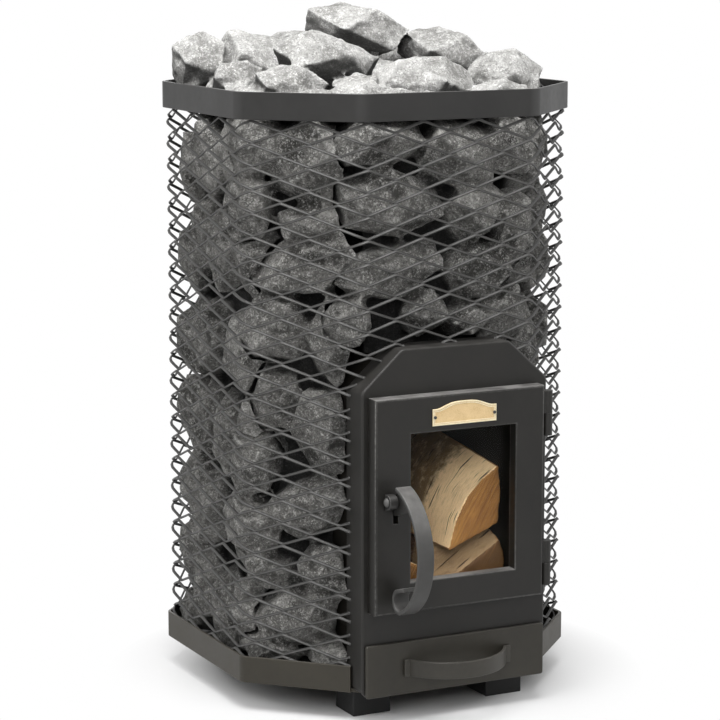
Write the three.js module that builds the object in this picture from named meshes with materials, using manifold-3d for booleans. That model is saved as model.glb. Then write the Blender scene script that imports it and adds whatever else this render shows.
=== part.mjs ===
// Wood-fired sauna heater: a stone cage of expanded metal on four feet, round a
// firebox with a glazed door and an ash drawer. Millimetres, +Z up, front faces -Y.
import * as THREE from "three";
import { ConvexGeometry } from "three/addons/geometries/ConvexGeometry.js";
import { mergeVertices } from "three/addons/utils/BufferGeometryUtils.js";
import Module from "manifold-3d";

const wasm = await Module();
wasm.setup();

// Fit between neighbouring pieces
const GAP = 0.3;

// Cage: a square plan with cut corners, between two rims of flat bar
const CAGE_HALF_WIDTH = 243;
const CAGE_HALF_SIDE = 125;
const RIM_HEIGHT = 35;
const RIM_THICKNESS = 4;
const TOP_RIM_TOP = 804;
const TOP_RIM_BEND = 30;
const BOTTOM_RIM_FLOOR = 38.3;
const BOTTOM_RIM_BEND = 16;
const MESH_INSET = 5.6;
const MESH_THICKNESS = 3;
const MESH_TOP = 799;
const MESH_ROWS = 9;
const MESH_STRAND = 7;
const MESH_END_SETBACK = 6;

// Feet and base plate
const FOOT_SIZE_X = 54;
const FOOT_SIZE_Y = 52;
const FOOT_HEIGHT = 38;
const FOOT_X = 98;
const FOOT_Y = 189.5;
const FOOT_WALL = 4;
const BASE_THICKNESS = 4.7;
const BASE_TOP = BOTTOM_RIM_FLOOR + BASE_THICKNESS;

// Front plate: a folded pan with cut top corners
const PLATE_HALF_WIDTH = 134;
const PLATE_BOTTOM = 36;
const PLATE_TOP = 484.7;
const PLATE_CUT_X = 56.3;
const PLATE_CUT_Z = 51.4;
const PLATE_CORNER = 12;
const PLATE_FRONT = -258;
const PLATE_THICKNESS = 4;
const PLATE_FLANGE_BACK = -215;
const PLATE_BACK = PLATE_FRONT + PLATE_THICKNESS;
const DOOR_HOLE = { x0: -101, x1: 104, z0: 166, z1: 404 };
const DRAWER_HOLE = { x0: -108, x1: 108, z0: 46.4, z1: 103 };

// Firebox and ash box
const FIREBOX_HALF_WIDTH = 120;
const FIREBOX_BOTTOM = 114;
const FIREBOX_TOP = 464;
const FIREBOX_CUT_X = 48;
const FIREBOX_CUT_Z = 51;
const FIREBOX_WALL = 5;
const FIREBOX_FRONT = PLATE_BACK + GAP;
const FIREBOX_BACK = 135;
const GRATE_HOLE = { x0: -75, x1: 75, y0: -190, y1: 70 };
const GRATE_THICKNESS = 12;
const GRATE_LAP = 10;
const GRATE_SLOTS = 5;
const GRATE_SLOT_WIDTH = 12;
const FLUE_RADIUS = 57.5;
const FLUE_WALL = 3;
const FLUE_Z = 395;
const FLUE_END = 300;
const FLUE_FLANGE_RADIUS = 68;
const BAFFLE_HALF_WIDTH = 114;
const BAFFLE_THICKNESS = 6;
const ASH_HALF_WIDTH = 116;
const ASH_BACK = 125;
const ASH_WALL = 3;

// Logs: the lower right one slopes back in bark over its front end
const LOG_FRONT = -215;
const BARK_SLOPE_RISE = 60;
const BARK_SLOPE_RUN = 90;

// Door
const DOOR = { x0: -125.3, x1: 119.5, z0: 148.7, z1: 426.3 };
const DOOR_FRONT = -278;
const DOOR_BACK = -258.5;
const DOOR_SKIN = 3;
const DOOR_EDGE = 3;
const WINDOW = { x0: -74.3, x1: 77.3, z0: 188, z1: 379 };
const REVEAL_WALL = 3;
const REVEAL_BACK = -263;
const SEAL_WIDTH = 9;
const SEAL_THICKNESS = 2;
const GLASS_THICKNESS = 4;
const GLASS_LAP = 9;
const ROPE_WIDTH = 9;
const ROPE_INSET = 6;
const CLIP_HALF_LENGTH = 62;
const CLIP_THICKNESS = 2.5;
const CLIP_LEG = 8;
const CLIP_SCREW_X = 46;
const CLIP_SCREW_RADIUS = 2;
const CLIP_NUT_RADIUS = 4;

// Hinges, on one upright axis at the right of the door
const HINGE_X = 129;
const HINGE_Y = -269;
const HINGE_RADIUS = 6.5;
const HINGE_BARREL = 29.5;
const HINGE_PIN = 3.4;
const HINGE_BORE = 3.8;
const HINGE_SPLITS = { upper: 388, lower: 189.5 };

// Nameplate
const NAMEPLATE = { x0: -45, x1: 47, z0: 387, z1: 408.5, crown: 416.7 };
const NAMEPLATE_EAR = 0.92;
const NAMEPLATE_FULLNESS = 1.6;
const NAMEPLATE_THICKNESS = 1.6;
const RIVET_INSET = 3.2;
const RIVET_Z = 398;
const RIVET_HOLE = 1.4;

// Door handle: a flat bar bowed in an arc about a point near the door face
const HANDLE_X = -96.5;
const HANDLE_WIDTH = 22;
const HANDLE_THICKNESS = 5;
const HANDLE_RADIUS = 84;
const HANDLE_CENTRE_OUT = -3.5;
const HANDLE_CENTRE_Z = 235;
const HANDLE_FROM = 74;
const HANDLE_TO = -64;
const CURL_RADIUS = 14;
const CURL_TO = -254;
const CURL_TAIL = 19;
const PIVOT_OUT = 7;
const PIVOT_Z = 296.5;
const PIVOT_RADIUS = 3;
const PIVOT_BORE = 3.5;
const LUG_X0 = -112;
const LUG_X1 = -101;
const TONGUE_THICKNESS = 4;
const LATCH_SLOT = { half: 3.6, z0: 266, z1: 304 };

// Ash drawer
const DRAWER = { halfWidth: 130, z0: 37, z1: 106.4 };
const DRAWER_FRONT = -264;
const TRAY_HALF_WIDTH = 104;
const TRAY_BOTTOM = 46.7;
const TRAY_TOP = 99;
const TRAY_BACK = 100;
const TRAY_WALL = 2;
const PULL_HALF_SPAN = 70;
const PULL_BOW = 42;
const PULL_THICKNESS = 4;
const PULL_Z0 = 61.5;
const PULL_Z1 = 83.5;
const PULL_FOOT = 7.5;

// Stones
const STONE_CLEARANCE = 1.6;
const STONE_CORNERS = 13;
const HIDDEN_STONE_CORNERS = 9;
const COURSE_HEIGHT = 118;
const STONE_SQUARENESS = 3.2;
const STONE_FILL = 1.13;
const STONE_FLOOR = BASE_TOP + 0.8;
const PACKING_DEPTH = 62;
const PACKING_BACK = 122;
const PACKING_JOINT = 3;

const MATERIALS = {
  paint: new THREE.MeshStandardMaterial({ color: 0x3a3937, roughness: 0.55, metalness: 0.2 }),
  rim: new THREE.MeshStandardMaterial({ color: 0x45423f, roughness: 0.55, metalness: 0.3 }),
  foot: new THREE.MeshStandardMaterial({ color: 0x151515, roughness: 0.6, metalness: 0.2 }),
  mesh: new THREE.MeshStandardMaterial({ color: 0x6c6a68, roughness: 0.5, metalness: 0.7 }),
  firebox: new THREE.MeshStandardMaterial({ color: 0x1f1d1b, roughness: 0.8, metalness: 0.3 }),
  castIron: new THREE.MeshStandardMaterial({ color: 0x2a2826, roughness: 0.8, metalness: 0.4 }),
  steel: new THREE.MeshStandardMaterial({ color: 0x8c8b89, roughness: 0.35, metalness: 0.9 }),
  brass: new THREE.MeshStandardMaterial({ color: 0xe0c68e, roughness: 0.35, metalness: 0.8 }),
  rope: new THREE.MeshStandardMaterial({ color: 0x4c4a47, roughness: 0.95, metalness: 0 }),
  stone: new THREE.MeshStandardMaterial({ color: 0x9b9a97, roughness: 0.95, metalness: 0 }),
  wood: new THREE.MeshStandardMaterial({ color: 0xc98f56, roughness: 0.85, metalness: 0 }),
  glass: new THREE.MeshStandardMaterial({
    color: 0x20242a,
    roughness: 0.05,
    metalness: 0,
    transparent: true,
    opacity: 0.35,
  }),
};

const stove = new THREE.Group();

// Solids: geometry in, joined or cut, and geometry out

function solid(geometry) {
  const bare = new THREE.BufferGeometry();
  const flat = geometry.index ? geometry.toNonIndexed() : geometry;
  bare.setAttribute("position", flat.getAttribute("position").clone());
  const merged = mergeVertices(bare, 1e-4);
  return new wasm.Manifold(
    new wasm.Mesh({
      numProp: 3,
      vertProperties: merged.getAttribute("position").array,
      triVerts: new Uint32Array(merged.index.array),
    }),
  );
}

function geometryOf(body) {
  const mesh = body.getMesh();
  const geometry = new THREE.BufferGeometry();
  geometry.setAttribute("position", new THREE.BufferAttribute(mesh.vertProperties, 3));
  geometry.setIndex(new THREE.BufferAttribute(mesh.triVerts, 1));
  const faceted = geometry.toNonIndexed();
  faceted.computeVertexNormals();
  return faceted;
}

function largestBody(body) {
  const bodies = body.decompose();
  return bodies.reduce((best, next) => (next.volume() > best.volume() ? next : best));
}

function join(...geometries) {
  const [first, ...rest] = geometries.map(solid);
  return geometryOf(rest.reduce((whole, piece) => whole.add(piece), first));
}

function cut(geometry, ...tools) {
  return geometryOf(tools.map(solid).reduce((left, tool) => left.subtract(tool), solid(geometry)));
}

function place(name, geometry, material, parent = stove) {
  const mesh = new THREE.Mesh(geometry, material);
  mesh.name = name;
  parent.add(mesh);
  return mesh;
}

// Basic forms

function box(x0, x1, y0, y1, z0, z1) {
  const form = new THREE.BoxGeometry(x1 - x0, y1 - y0, z1 - z0);
  return form.translate((x0 + x1) / 2, (y0 + y1) / 2, (z0 + z1) / 2);
}

function shapeOf(points, holes = []) {
  const shape = new THREE.Shape(points);
  shape.holes = holes.map((hole) => new THREE.Path(hole));
  return shape;
}

// A plan outline standing between two heights
function standing(shape, z0, z1) {
  const form = new THREE.ExtrudeGeometry(shape, { depth: z1 - z0, bevelEnabled: false });
  return form.translate(0, 0, z0);
}

// An outline seen from the front, as (x, z), reaching from y0 back to y1
function facing(shape, y0, y1) {
  const form = new THREE.ExtrudeGeometry(shape, { depth: y1 - y0, bevelEnabled: false });
  return form.rotateX(Math.PI / 2).translate(0, y1, 0);
}

// An outline seen from the side, as (y, z), reaching from x0 to x1
function sideways(shape, x0, x1) {
  const form = new THREE.ExtrudeGeometry(shape, { depth: x1 - x0, bevelEnabled: false });
  const turn = new THREE.Matrix4().makeBasis(
    new THREE.Vector3(0, 1, 0),
    new THREE.Vector3(0, 0, 1),
    new THREE.Vector3(1, 0, 0),
  );
  return form.applyMatrix4(turn).translate(x0, 0, 0);
}

function barX(radius, x0, x1, y, z, sides = 16) {
  const form = new THREE.CylinderGeometry(radius, radius, x1 - x0, sides);
  return form.rotateZ(-Math.PI / 2).translate((x0 + x1) / 2, y, z);
}

function barY(radius, y0, y1, x, z, sides = 16) {
  const form = new THREE.CylinderGeometry(radius, radius, y1 - y0, sides);
  return form.translate(x, (y0 + y1) / 2, z);
}

function barZ(radius, z0, z1, x, y, sides = 16) {
  const form = new THREE.CylinderGeometry(radius, radius, z1 - z0, sides);
  return form.rotateX(Math.PI / 2).translate(x, y, (z0 + z1) / 2);
}

function rectangle({ x0, x1, z0, z1 }, grow = 0) {
  return [
    new THREE.Vector2(x0 - grow, z0 - grow),
    new THREE.Vector2(x1 + grow, z0 - grow),
    new THREE.Vector2(x1 + grow, z1 + grow),
    new THREE.Vector2(x0 - grow, z1 + grow),
  ];
}

// A closed outline with every corner rounded to the radius
function rounded(points, radius, steps = 3) {
  const count = points.length;
  return points.flatMap((corner, index) => {
    const before = points[(index + count - 1) % count].clone().sub(corner).normalize();
    const after = points[(index + 1) % count].clone().sub(corner).normalize();
    const half = Math.acos(THREE.MathUtils.clamp(before.dot(after), -1, 1)) / 2;
    const middle = before.clone().add(after).normalize();
    const centre = corner.clone().addScaledVector(middle, radius / Math.sin(half));
    const start = corner.clone().addScaledVector(before, radius / Math.tan(half)).sub(centre);
    const end = corner.clone().addScaledVector(after, radius / Math.tan(half)).sub(centre);
    const turn = Math.atan2(start.cross(end), start.dot(end));
    return Array.from({ length: steps + 1 }, (_, step) =>
      start.clone().rotateAround(new THREE.Vector2(), (turn * step) / steps).add(centre),
    );
  });
}

// A strip of even thickness along a line of points
function strip(line, thickness) {
  const offset = (side) =>
    line.map((point, index) => {
      const back = line[Math.max(index - 1, 0)];
      const ahead = line[Math.min(index + 1, line.length - 1)];
      const along = ahead.clone().sub(back).normalize();
      return new THREE.Vector2(-along.y, along.x).multiplyScalar((side * thickness) / 2).add(point);
    });
  return [...offset(-1), ...offset(1).reverse()];
}

function arc(centre, radius, from, to, steps) {
  return Array.from({ length: steps + 1 }, (_, step) => {
    const angle = THREE.MathUtils.degToRad(from + ((to - from) * step) / steps);
    return new THREE.Vector2(Math.cos(angle), Math.sin(angle)).multiplyScalar(radius).add(centre);
  });
}

// Cage plan

const EIGHTH = Math.tan(Math.PI / 8);
const CUT_FACE_DISTANCE = (CAGE_HALF_WIDTH + CAGE_HALF_SIDE) / Math.SQRT2;
const CUT_FACE_HALF_SIDE = (CAGE_HALF_WIDTH - CAGE_HALF_SIDE) / Math.SQRT2;

// The eight corners of the cage plan, moved inwards by an inset
function cagePlan(inset) {
  const width = CAGE_HALF_WIDTH - inset;
  const side = CAGE_HALF_SIDE - inset * EIGHTH;
  return [
    new THREE.Vector2(side, -width),
    new THREE.Vector2(width, -side),
    new THREE.Vector2(width, side),
    new THREE.Vector2(side, width),
    new THREE.Vector2(-side, width),
    new THREE.Vector2(-width, side),
    new THREE.Vector2(-width, -side),
    new THREE.Vector2(-side, -width),
  ];
}

// Each face: its turn about Z from the front, its distance from the axis and its half width
const FACES = {
  front: { turn: 0, columns: 2 },
  front_right: { turn: 45, columns: 1 },
  right: { turn: 90, columns: 2 },
  rear_right: { turn: 135, columns: 1 },
  rear: { turn: 180, columns: 2 },
  rear_left: { turn: 225, columns: 1 },
  left: { turn: 270, columns: 2 },
  front_left: { turn: 315, columns: 1 },
};
for (const face of Object.values(FACES)) {
  const isCut = face.columns === 1;
  face.distance = isCut ? CUT_FACE_DISTANCE : CAGE_HALF_WIDTH;
  face.halfSide = isCut ? CUT_FACE_HALF_SIDE : CAGE_HALF_SIDE;
  face.halfWidth = face.halfSide - MESH_END_SETBACK;
  face.radians = THREE.MathUtils.degToRad(face.turn);
}

// Rims, base plate and feet

function rim(z0, bend) {
  const outer = rounded(cagePlan(0), bend);
  const inner = rounded(cagePlan(RIM_THICKNESS), bend - RIM_THICKNESS);
  return standing(shapeOf(outer, [inner]), z0, z0 + RIM_HEIGHT);
}

const rimGap = PLATE_HALF_WIDTH + GAP;
const frontGap = box(-rimGap, rimGap, -CAGE_HALF_WIDTH - 5, -CAGE_HALF_WIDTH + 40, 0, 100);
place("top_rim", rim(TOP_RIM_TOP - RIM_HEIGHT, TOP_RIM_BEND), MATERIALS.rim);
place("bottom_rim", cut(rim(BOTTOM_RIM_FLOOR, BOTTOM_RIM_BEND), frontGap), MATERIALS.rim);

const basePlan = rounded(cagePlan(RIM_THICKNESS + GAP), BOTTOM_RIM_BEND - RIM_THICKNESS);
place("base_plate", standing(shapeOf(basePlan), BOTTOM_RIM_FLOOR, BASE_TOP), MATERIALS.rim);

function foot() {
  const outer = box(-FOOT_SIZE_X / 2, FOOT_SIZE_X / 2, -FOOT_SIZE_Y / 2, FOOT_SIZE_Y / 2, 0, FOOT_HEIGHT);
  const x = FOOT_SIZE_X / 2 - FOOT_WALL;
  const y = FOOT_SIZE_Y / 2 - FOOT_WALL;
  return cut(outer, box(-x, x, -y, y, FOOT_WALL, FOOT_HEIGHT + 5));
}

for (const [end, y] of [["front", -FOOT_Y], ["rear", FOOT_Y]]) {
  for (const [side, x] of [["left", -FOOT_X], ["right", FOOT_X]]) {
    place(`foot_${end}_${side}`, foot(), MATERIALS.foot).position.set(x, y, 0);
  }
}

// Front plate

function plateOutline(halfWidth, bottom, top, cutX, cutZ) {
  return [
    new THREE.Vector2(-halfWidth, bottom),
    new THREE.Vector2(halfWidth, bottom),
    new THREE.Vector2(halfWidth, top - cutZ),
    new THREE.Vector2(halfWidth - cutX, top),
    new THREE.Vector2(-halfWidth + cutX, top),
    new THREE.Vector2(-halfWidth, top - cutZ),
  ];
}

// The plate outline grown (or, below zero, shrunk) on its sides and top
function plateGrown(grow, bottom) {
  const slant = Math.hypot(PLATE_CUT_X, PLATE_CUT_Z);
  const shiftX = (grow * (slant - PLATE_CUT_X)) / PLATE_CUT_Z;
  const shiftZ = (grow * (slant - PLATE_CUT_Z)) / PLATE_CUT_X;
  const cutX = PLATE_CUT_X + grow - shiftX;
  const cutZ = PLATE_CUT_Z + grow - shiftZ;
  return plateOutline(PLATE_HALF_WIDTH + grow, bottom, PLATE_TOP + grow, cutX, cutZ);
}

const plateFace = rounded(plateGrown(0, PLATE_BOTTOM), PLATE_CORNER);
const plateInside = rounded(plateGrown(-PLATE_THICKNESS, 0), PLATE_CORNER - PLATE_THICKNESS);
place(
  "front_plate",
  cut(
    facing(shapeOf(plateFace), PLATE_FRONT, PLATE_FLANGE_BACK),
    facing(shapeOf(plateInside), PLATE_BACK, PLATE_FLANGE_BACK + 5),
    box(-200, 200, PLATE_BACK, PLATE_FLANGE_BACK + 5, 0, BASE_TOP + GAP),
    facing(shapeOf(rectangle(DOOR_HOLE)), PLATE_FRONT - 5, PLATE_BACK + 5),
    facing(shapeOf(rectangle(DRAWER_HOLE)), PLATE_FRONT - 5, PLATE_BACK + 5),
  ),
  MATERIALS.paint,
);

// Expanded metal, one panel a face, drawn as seen from outside and turned into its place

// An opening of the metal, as a lozenge clipped to the panel's half width
function lozenge(x, z, halfX, halfZ, limit) {
  const tips = [x - halfX, x + halfX].map((tip) => THREE.MathUtils.clamp(tip, -limit, limit));
  const level = (tip) => halfZ * (1 - Math.abs(tip - x) / halfX);
  const ends = tips.map((tip) => Math.max(level(tip), 0));
  const points = [new THREE.Vector2(tips[0], z - ends[0])];
  if (Math.abs(x) < limit) points.push(new THREE.Vector2(x, z - halfZ));
  points.push(new THREE.Vector2(tips[1], z - ends[1]));
  if (ends[1] > 0) points.push(new THREE.Vector2(tips[1], z + ends[1]));
  if (Math.abs(x) < limit) points.push(new THREE.Vector2(x, z + halfZ));
  if (ends[0] > 0) points.push(new THREE.Vector2(tips[0], z + ends[0]));
  return points;
}

function meshPanel({ halfWidth, columns }) {
  const bottom = BASE_TOP + GAP;
  const pitchX = (2 * halfWidth) / columns;
  const pitchZ = (MESH_TOP - bottom) / MESH_ROWS;
  const halfX = pitchX / 2 - MESH_STRAND;
  const halfZ = pitchZ / 2 - MESH_STRAND / 2;
  const limit = halfWidth - MESH_STRAND / 2;
  const holes = [];
  for (let row = 0; row < MESH_ROWS; row += 1) {
    for (let column = 0; column < columns; column += 1) {
      const x = -halfWidth + (column + 0.5) * pitchX;
      holes.push(lozenge(x, bottom + (row + 0.5) * pitchZ, halfX, halfZ, limit));
    }
    for (let column = 0; column <= columns && row > 0; column += 1) {
      const x = -halfWidth + column * pitchX;
      holes.push(lozenge(x, bottom + row * pitchZ, halfX, halfZ, limit));
    }
  }
  const sheet = rectangle({ x0: -halfWidth, x1: halfWidth, z0: bottom, z1: MESH_TOP });
  return facing(shapeOf(sheet, holes), -MESH_THICKNESS, 0);
}

const plateSpace = solid(facing(shapeOf(plateGrown(GAP, 0)), PLATE_FRONT - 5, PLATE_FLANGE_BACK + GAP));
const flueSpace = solid(barY(FLUE_RADIUS + 5, FIREBOX_BACK + 20, FLUE_END, 0, FLUE_Z, 24));
for (const [name, face] of Object.entries(FACES)) {
  const depth = face.distance - MESH_INSET - MESH_THICKNESS;
  const panel = solid(meshPanel(face).translate(0, -depth, 0).rotateZ(face.radians));
  const trimmed = panel.subtract(plateSpace).subtract(flueSpace);
  place(`mesh_${name}`, geometryOf(largestBody(trimmed)), MATERIALS.mesh);
}

// Firebox, with its grate, baffle and flue collar

const fireboxOuter = plateOutline(
  FIREBOX_HALF_WIDTH,
  FIREBOX_BOTTOM,
  FIREBOX_TOP,
  FIREBOX_CUT_X,
  FIREBOX_CUT_Z,
);
const fireboxInner = plateOutline(
  FIREBOX_HALF_WIDTH - FIREBOX_WALL,
  FIREBOX_BOTTOM + FIREBOX_WALL,
  FIREBOX_TOP - FIREBOX_WALL,
  FIREBOX_CUT_X - 2,
  FIREBOX_CUT_Z - 2,
);
const fireboxFloor = FIREBOX_BOTTOM + FIREBOX_WALL;
place(
  "firebox_shell",
  cut(
    facing(shapeOf(fireboxOuter), FIREBOX_FRONT, FIREBOX_BACK),
    facing(shapeOf(fireboxInner), FIREBOX_FRONT - 5, FIREBOX_BACK - FIREBOX_WALL),
    box(GRATE_HOLE.x0, GRATE_HOLE.x1, GRATE_HOLE.y0, GRATE_HOLE.y1, 100, fireboxFloor + 5),
    barY(FLUE_RADIUS + GAP, FIREBOX_BACK - 20, FIREBOX_BACK + 5, 0, FLUE_Z, 24),
  ),
  MATERIALS.firebox,
);

function grate() {
  const x1 = GRATE_HOLE.x1 + GRATE_LAP;
  const y0 = GRATE_HOLE.y0 - GRATE_LAP;
  const y1 = GRATE_HOLE.y1 + GRATE_LAP;
  const plate = [
    new THREE.Vector2(-x1, y0),
    new THREE.Vector2(x1, y0),
    new THREE.Vector2(x1, y1),
    new THREE.Vector2(-x1, y1),
  ];
  const bottom = fireboxFloor + GAP;
  const pitch = (GRATE_HOLE.x1 - GRATE_HOLE.x0) / GRATE_SLOTS;
  const slots = Array.from({ length: GRATE_SLOTS }, (_, index) => {
    const x = GRATE_HOLE.x0 + (index + 0.5) * pitch;
    const half = GRATE_SLOT_WIDTH / 2;
    const top = bottom + GRATE_THICKNESS;
    return box(x - half, x + half, GRATE_HOLE.y0 + 15, GRATE_HOLE.y1 - 15, bottom - 5, top + 5);
  });
  return cut(standing(shapeOf(rounded(plate, 8)), bottom, bottom + GRATE_THICKNESS), ...slots);
}
place("grate", grate(), MATERIALS.castIron);
const grateTop = fireboxFloor + GAP + GRATE_THICKNESS;

const baffleLine = [
  new THREE.Vector2(FIREBOX_BACK - FIREBOX_WALL - 1.5, 324),
  new THREE.Vector2(-73, 366),
  new THREE.Vector2(-118, 392),
];
place(
  "flame_baffle",
  sideways(shapeOf(strip(baffleLine, BAFFLE_THICKNESS)), -BAFFLE_HALF_WIDTH, BAFFLE_HALF_WIDTH),
  MATERIALS.castIron,
);

function flueCollar() {
  const start = FIREBOX_BACK - FIREBOX_WALL - 6;
  const flange = FIREBOX_BACK + GAP;
  const tube = barY(FLUE_RADIUS, start, FLUE_END, 0, FLUE_Z, 24);
  const ring = barY(FLUE_FLANGE_RADIUS, flange, flange + FLUE_WALL, 0, FLUE_Z, 24);
  const bore = barY(FLUE_RADIUS - FLUE_WALL, start - 5, FLUE_END + 5, 0, FLUE_Z, 24);
  return geometryOf(solid(tube).add(solid(ring)).subtract(solid(bore)));
}
place("flue_collar", flueCollar(), MATERIALS.firebox);

// Ash box under the firebox, open at the front and the top

const ashTop = FIREBOX_BOTTOM - GAP;
const ashFloor = BASE_TOP + GAP;
const ashInside = ASH_HALF_WIDTH - ASH_WALL;
place(
  "ash_box",
  cut(
    box(-ASH_HALF_WIDTH, ASH_HALF_WIDTH, FIREBOX_FRONT, ASH_BACK, ashFloor, ashTop),
    box(-ashInside, ashInside, FIREBOX_FRONT - 5, ASH_BACK - ASH_WALL, ashFloor + ASH_WALL, ashTop + 5),
  ),
  MATERIALS.firebox,
);

// Split logs on the grate, each an outline seen from the front

const log = (points, y0, y1) => facing(shapeOf(points.map(([x, z]) => new THREE.Vector2(x, z))), y0, y1);
const logFloor = grateTop + GAP;
const lowerRight = [
  [9, logFloor], [90, logFloor], [99, 160], [97, 195], [84, 229], [42, 214], [6, 198], [-4, 165],
];
const upperRight = [[10, 206], [84, 236], [88, 280], [84, 314], [60, 298], [38, 276], [21, 246]];
const lowerLeft = [
  [-96, logFloor], [-16, logFloor], [-11, 165], [-26, 188], [-52, 203], [-84, 190], [-100, 160],
];
const rearLeft = [[-92, 210], [-20, 208], [-6, 240], [-22, 280], [-58, 300], [-88, 276], [-98, 240]];
const barkEdge = new THREE.Vector3(44, LOG_FRONT, 182);
const alongEdge = new THREE.Vector3(0.85, 0, 0.526);
const overEdge = new THREE.Vector3(-0.526, 0, 0.85);
const barkSlope = new ConvexGeometry(
  [-90, 90].flatMap((along) =>
    [[0, -9], [0, 0], [BARK_SLOPE_RISE, BARK_SLOPE_RUN], [BARK_SLOPE_RISE, -9]].map(([over, back]) =>
      barkEdge
        .clone()
        .addScaledVector(alongEdge, along)
        .addScaledVector(overEdge, over)
        .add(new THREE.Vector3(0, back, 0)),
    ),
  ),
);
place("log_lower_right", cut(log(lowerRight, LOG_FRONT, 70), barkSlope), MATERIALS.wood);
place("log_upper_right", log(upperRight, -221, 40), MATERIALS.wood);
place("log_lower_left", log(lowerLeft, -209, 85), MATERIALS.wood);
place("log_rear_left", log(rearLeft, -133, 90), MATERIALS.wood);

// Door: a folded box with a window set back in it

const outX = (out) => DOOR_FRONT - out;
const slot = {
  x0: HANDLE_X - LATCH_SLOT.half,
  x1: HANDLE_X + LATCH_SLOT.half,
  z0: LATCH_SLOT.z0,
  z1: LATCH_SLOT.z1,
};
const rivetXs = { left: NAMEPLATE.x0 + RIVET_INSET, right: NAMEPLATE.x1 - RIVET_INSET };

function doorFrame() {
  const blank = new THREE.ExtrudeGeometry(shapeOf(rectangle(DOOR, -DOOR_EDGE)), {
    depth: 40,
    bevelSize: DOOR_EDGE,
    bevelThickness: DOOR_EDGE,
    bevelSegments: 2,
  });
  blank.rotateX(Math.PI / 2).translate(0, DOOR_FRONT + DOOR_EDGE + 40, 0);
  const cavity = cut(
    facing(shapeOf(rectangle(DOOR, -DOOR_SKIN)), DOOR_FRONT + DOOR_SKIN, DOOR_BACK + 60),
    facing(shapeOf(rectangle(WINDOW, REVEAL_WALL)), DOOR_FRONT, REVEAL_BACK),
  );
  return cut(
    blank,
    box(-200, 200, DOOR_BACK, DOOR_BACK + 80, 0, 500),
    cavity,
    facing(shapeOf(rectangle(WINDOW)), DOOR_FRONT - 5, REVEAL_BACK + 5),
    facing(shapeOf(rectangle(slot)), DOOR_FRONT - 5, DOOR_FRONT + DOOR_SKIN + 5),
    barY(RIVET_HOLE, DOOR_FRONT - 5, DOOR_FRONT + DOOR_SKIN + 5, rivetXs.left, RIVET_Z, 8),
    barY(RIVET_HOLE, DOOR_FRONT - 5, DOOR_FRONT + DOOR_SKIN + 5, rivetXs.right, RIVET_Z, 8),
  );
}
place("door_frame", doorFrame(), MATERIALS.paint);

const sealBack = REVEAL_BACK + GAP + SEAL_THICKNESS;
const glassFront = sealBack + GAP;
const glassBack = glassFront + GLASS_THICKNESS;
const seal = shapeOf(rectangle(WINDOW, SEAL_WIDTH), [rectangle(WINDOW, 1)]);
const rope = shapeOf(rectangle(DOOR, -ROPE_INSET), [rectangle(DOOR, -ROPE_INSET - ROPE_WIDTH)]);
place("glass_seal", facing(seal, REVEAL_BACK + GAP, sealBack), MATERIALS.rope);
place("door_glass", facing(shapeOf(rectangle(WINDOW, GLASS_LAP)), glassFront, glassBack), MATERIALS.glass);
place("door_rope_seal", facing(rope, DOOR_FRONT + DOOR_SKIN + GAP, DOOR_BACK), MATERIALS.rope);

// Glass clips above and below the pane, each on two studs with nuts

const windowCentre = (WINDOW.x0 + WINDOW.x1) / 2;
const clipFront = glassBack + GAP;
const clipBack = clipFront + CLIP_THICKNESS;
const skinBack = DOOR_FRONT + DOOR_SKIN + GAP;
const clipSpots = {
  top: { edge: WINDOW.z1 + GLASS_LAP, direction: 1 },
  bottom: { edge: WINDOW.z0 - GLASS_LAP, direction: -1 },
};
for (const [name, { edge, direction }] of Object.entries(clipSpots)) {
  const legNear = edge + direction * 1.5;
  const legFar = legNear + direction * CLIP_LEG;
  const lap = edge - direction * 6;
  const x0 = windowCentre - CLIP_HALF_LENGTH;
  const x1 = windowCentre + CLIP_HALF_LENGTH;
  const low = Math.min(legNear, legFar);
  const legZ = low + CLIP_LEG / 2;
  const leg = box(x0, x1, skinBack, clipBack, low, low + CLIP_LEG);
  const lip = box(x0, x1, clipFront, clipBack, Math.min(lap, legZ), Math.max(lap, legZ));
  const studs = [windowCentre - CLIP_SCREW_X, windowCentre + CLIP_SCREW_X];
  const holes = studs.map((x) => barY(CLIP_SCREW_RADIUS + GAP, skinBack - 5, clipBack + 5, x, legZ, 10));
  place(`glass_clip_${name}`, cut(join(leg, lip), ...holes), MATERIALS.steel);
  studs.forEach((x, index) => {
    const stud = barY(CLIP_SCREW_RADIUS, skinBack, clipBack + GAP + 1, x, legZ, 10);
    const nut = barY(CLIP_NUT_RADIUS, clipBack + GAP, clipBack + GAP + 3, x, legZ, 6);
    place(`glass_stud_${name}_${index === 0 ? "left" : "right"}`, join(stud, nut), MATERIALS.steel);
  });
}

// Hinges: the lower barrel and its pin on the plate, the upper barrel on the door

for (const [name, split] of Object.entries(HINGE_SPLITS)) {
  const pinTop = split + HINGE_BARREL - 4;
  const barrelLow = barZ(HINGE_RADIUS, split - HINGE_BARREL, split, HINGE_X, HINGE_Y);
  const leafLow = box(HINGE_X - 4, HINGE_X + 3, HINGE_Y, PLATE_FRONT - GAP, split - HINGE_BARREL, split);
  const pin = barZ(HINGE_PIN, split - 5, pinTop, HINGE_X, HINGE_Y);
  place(`hinge_frame_${name}`, join(barrelLow, leafLow, pin), MATERIALS.paint);

  const z0 = split + GAP;
  const z1 = z0 + HINGE_BARREL;
  const barrelHigh = barZ(HINGE_RADIUS, z0, z1, HINGE_X, HINGE_Y);
  const leafHigh = box(DOOR.x1 + GAP, HINGE_X, HINGE_Y - 4, HINGE_Y + 4, z0, z1);
  const bore = barZ(HINGE_BORE, z0 - 5, z1 - 2, HINGE_X, HINGE_Y);
  place(`hinge_door_${name}`, cut(join(barrelHigh, leafHigh), bore), MATERIALS.paint);
}

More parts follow.
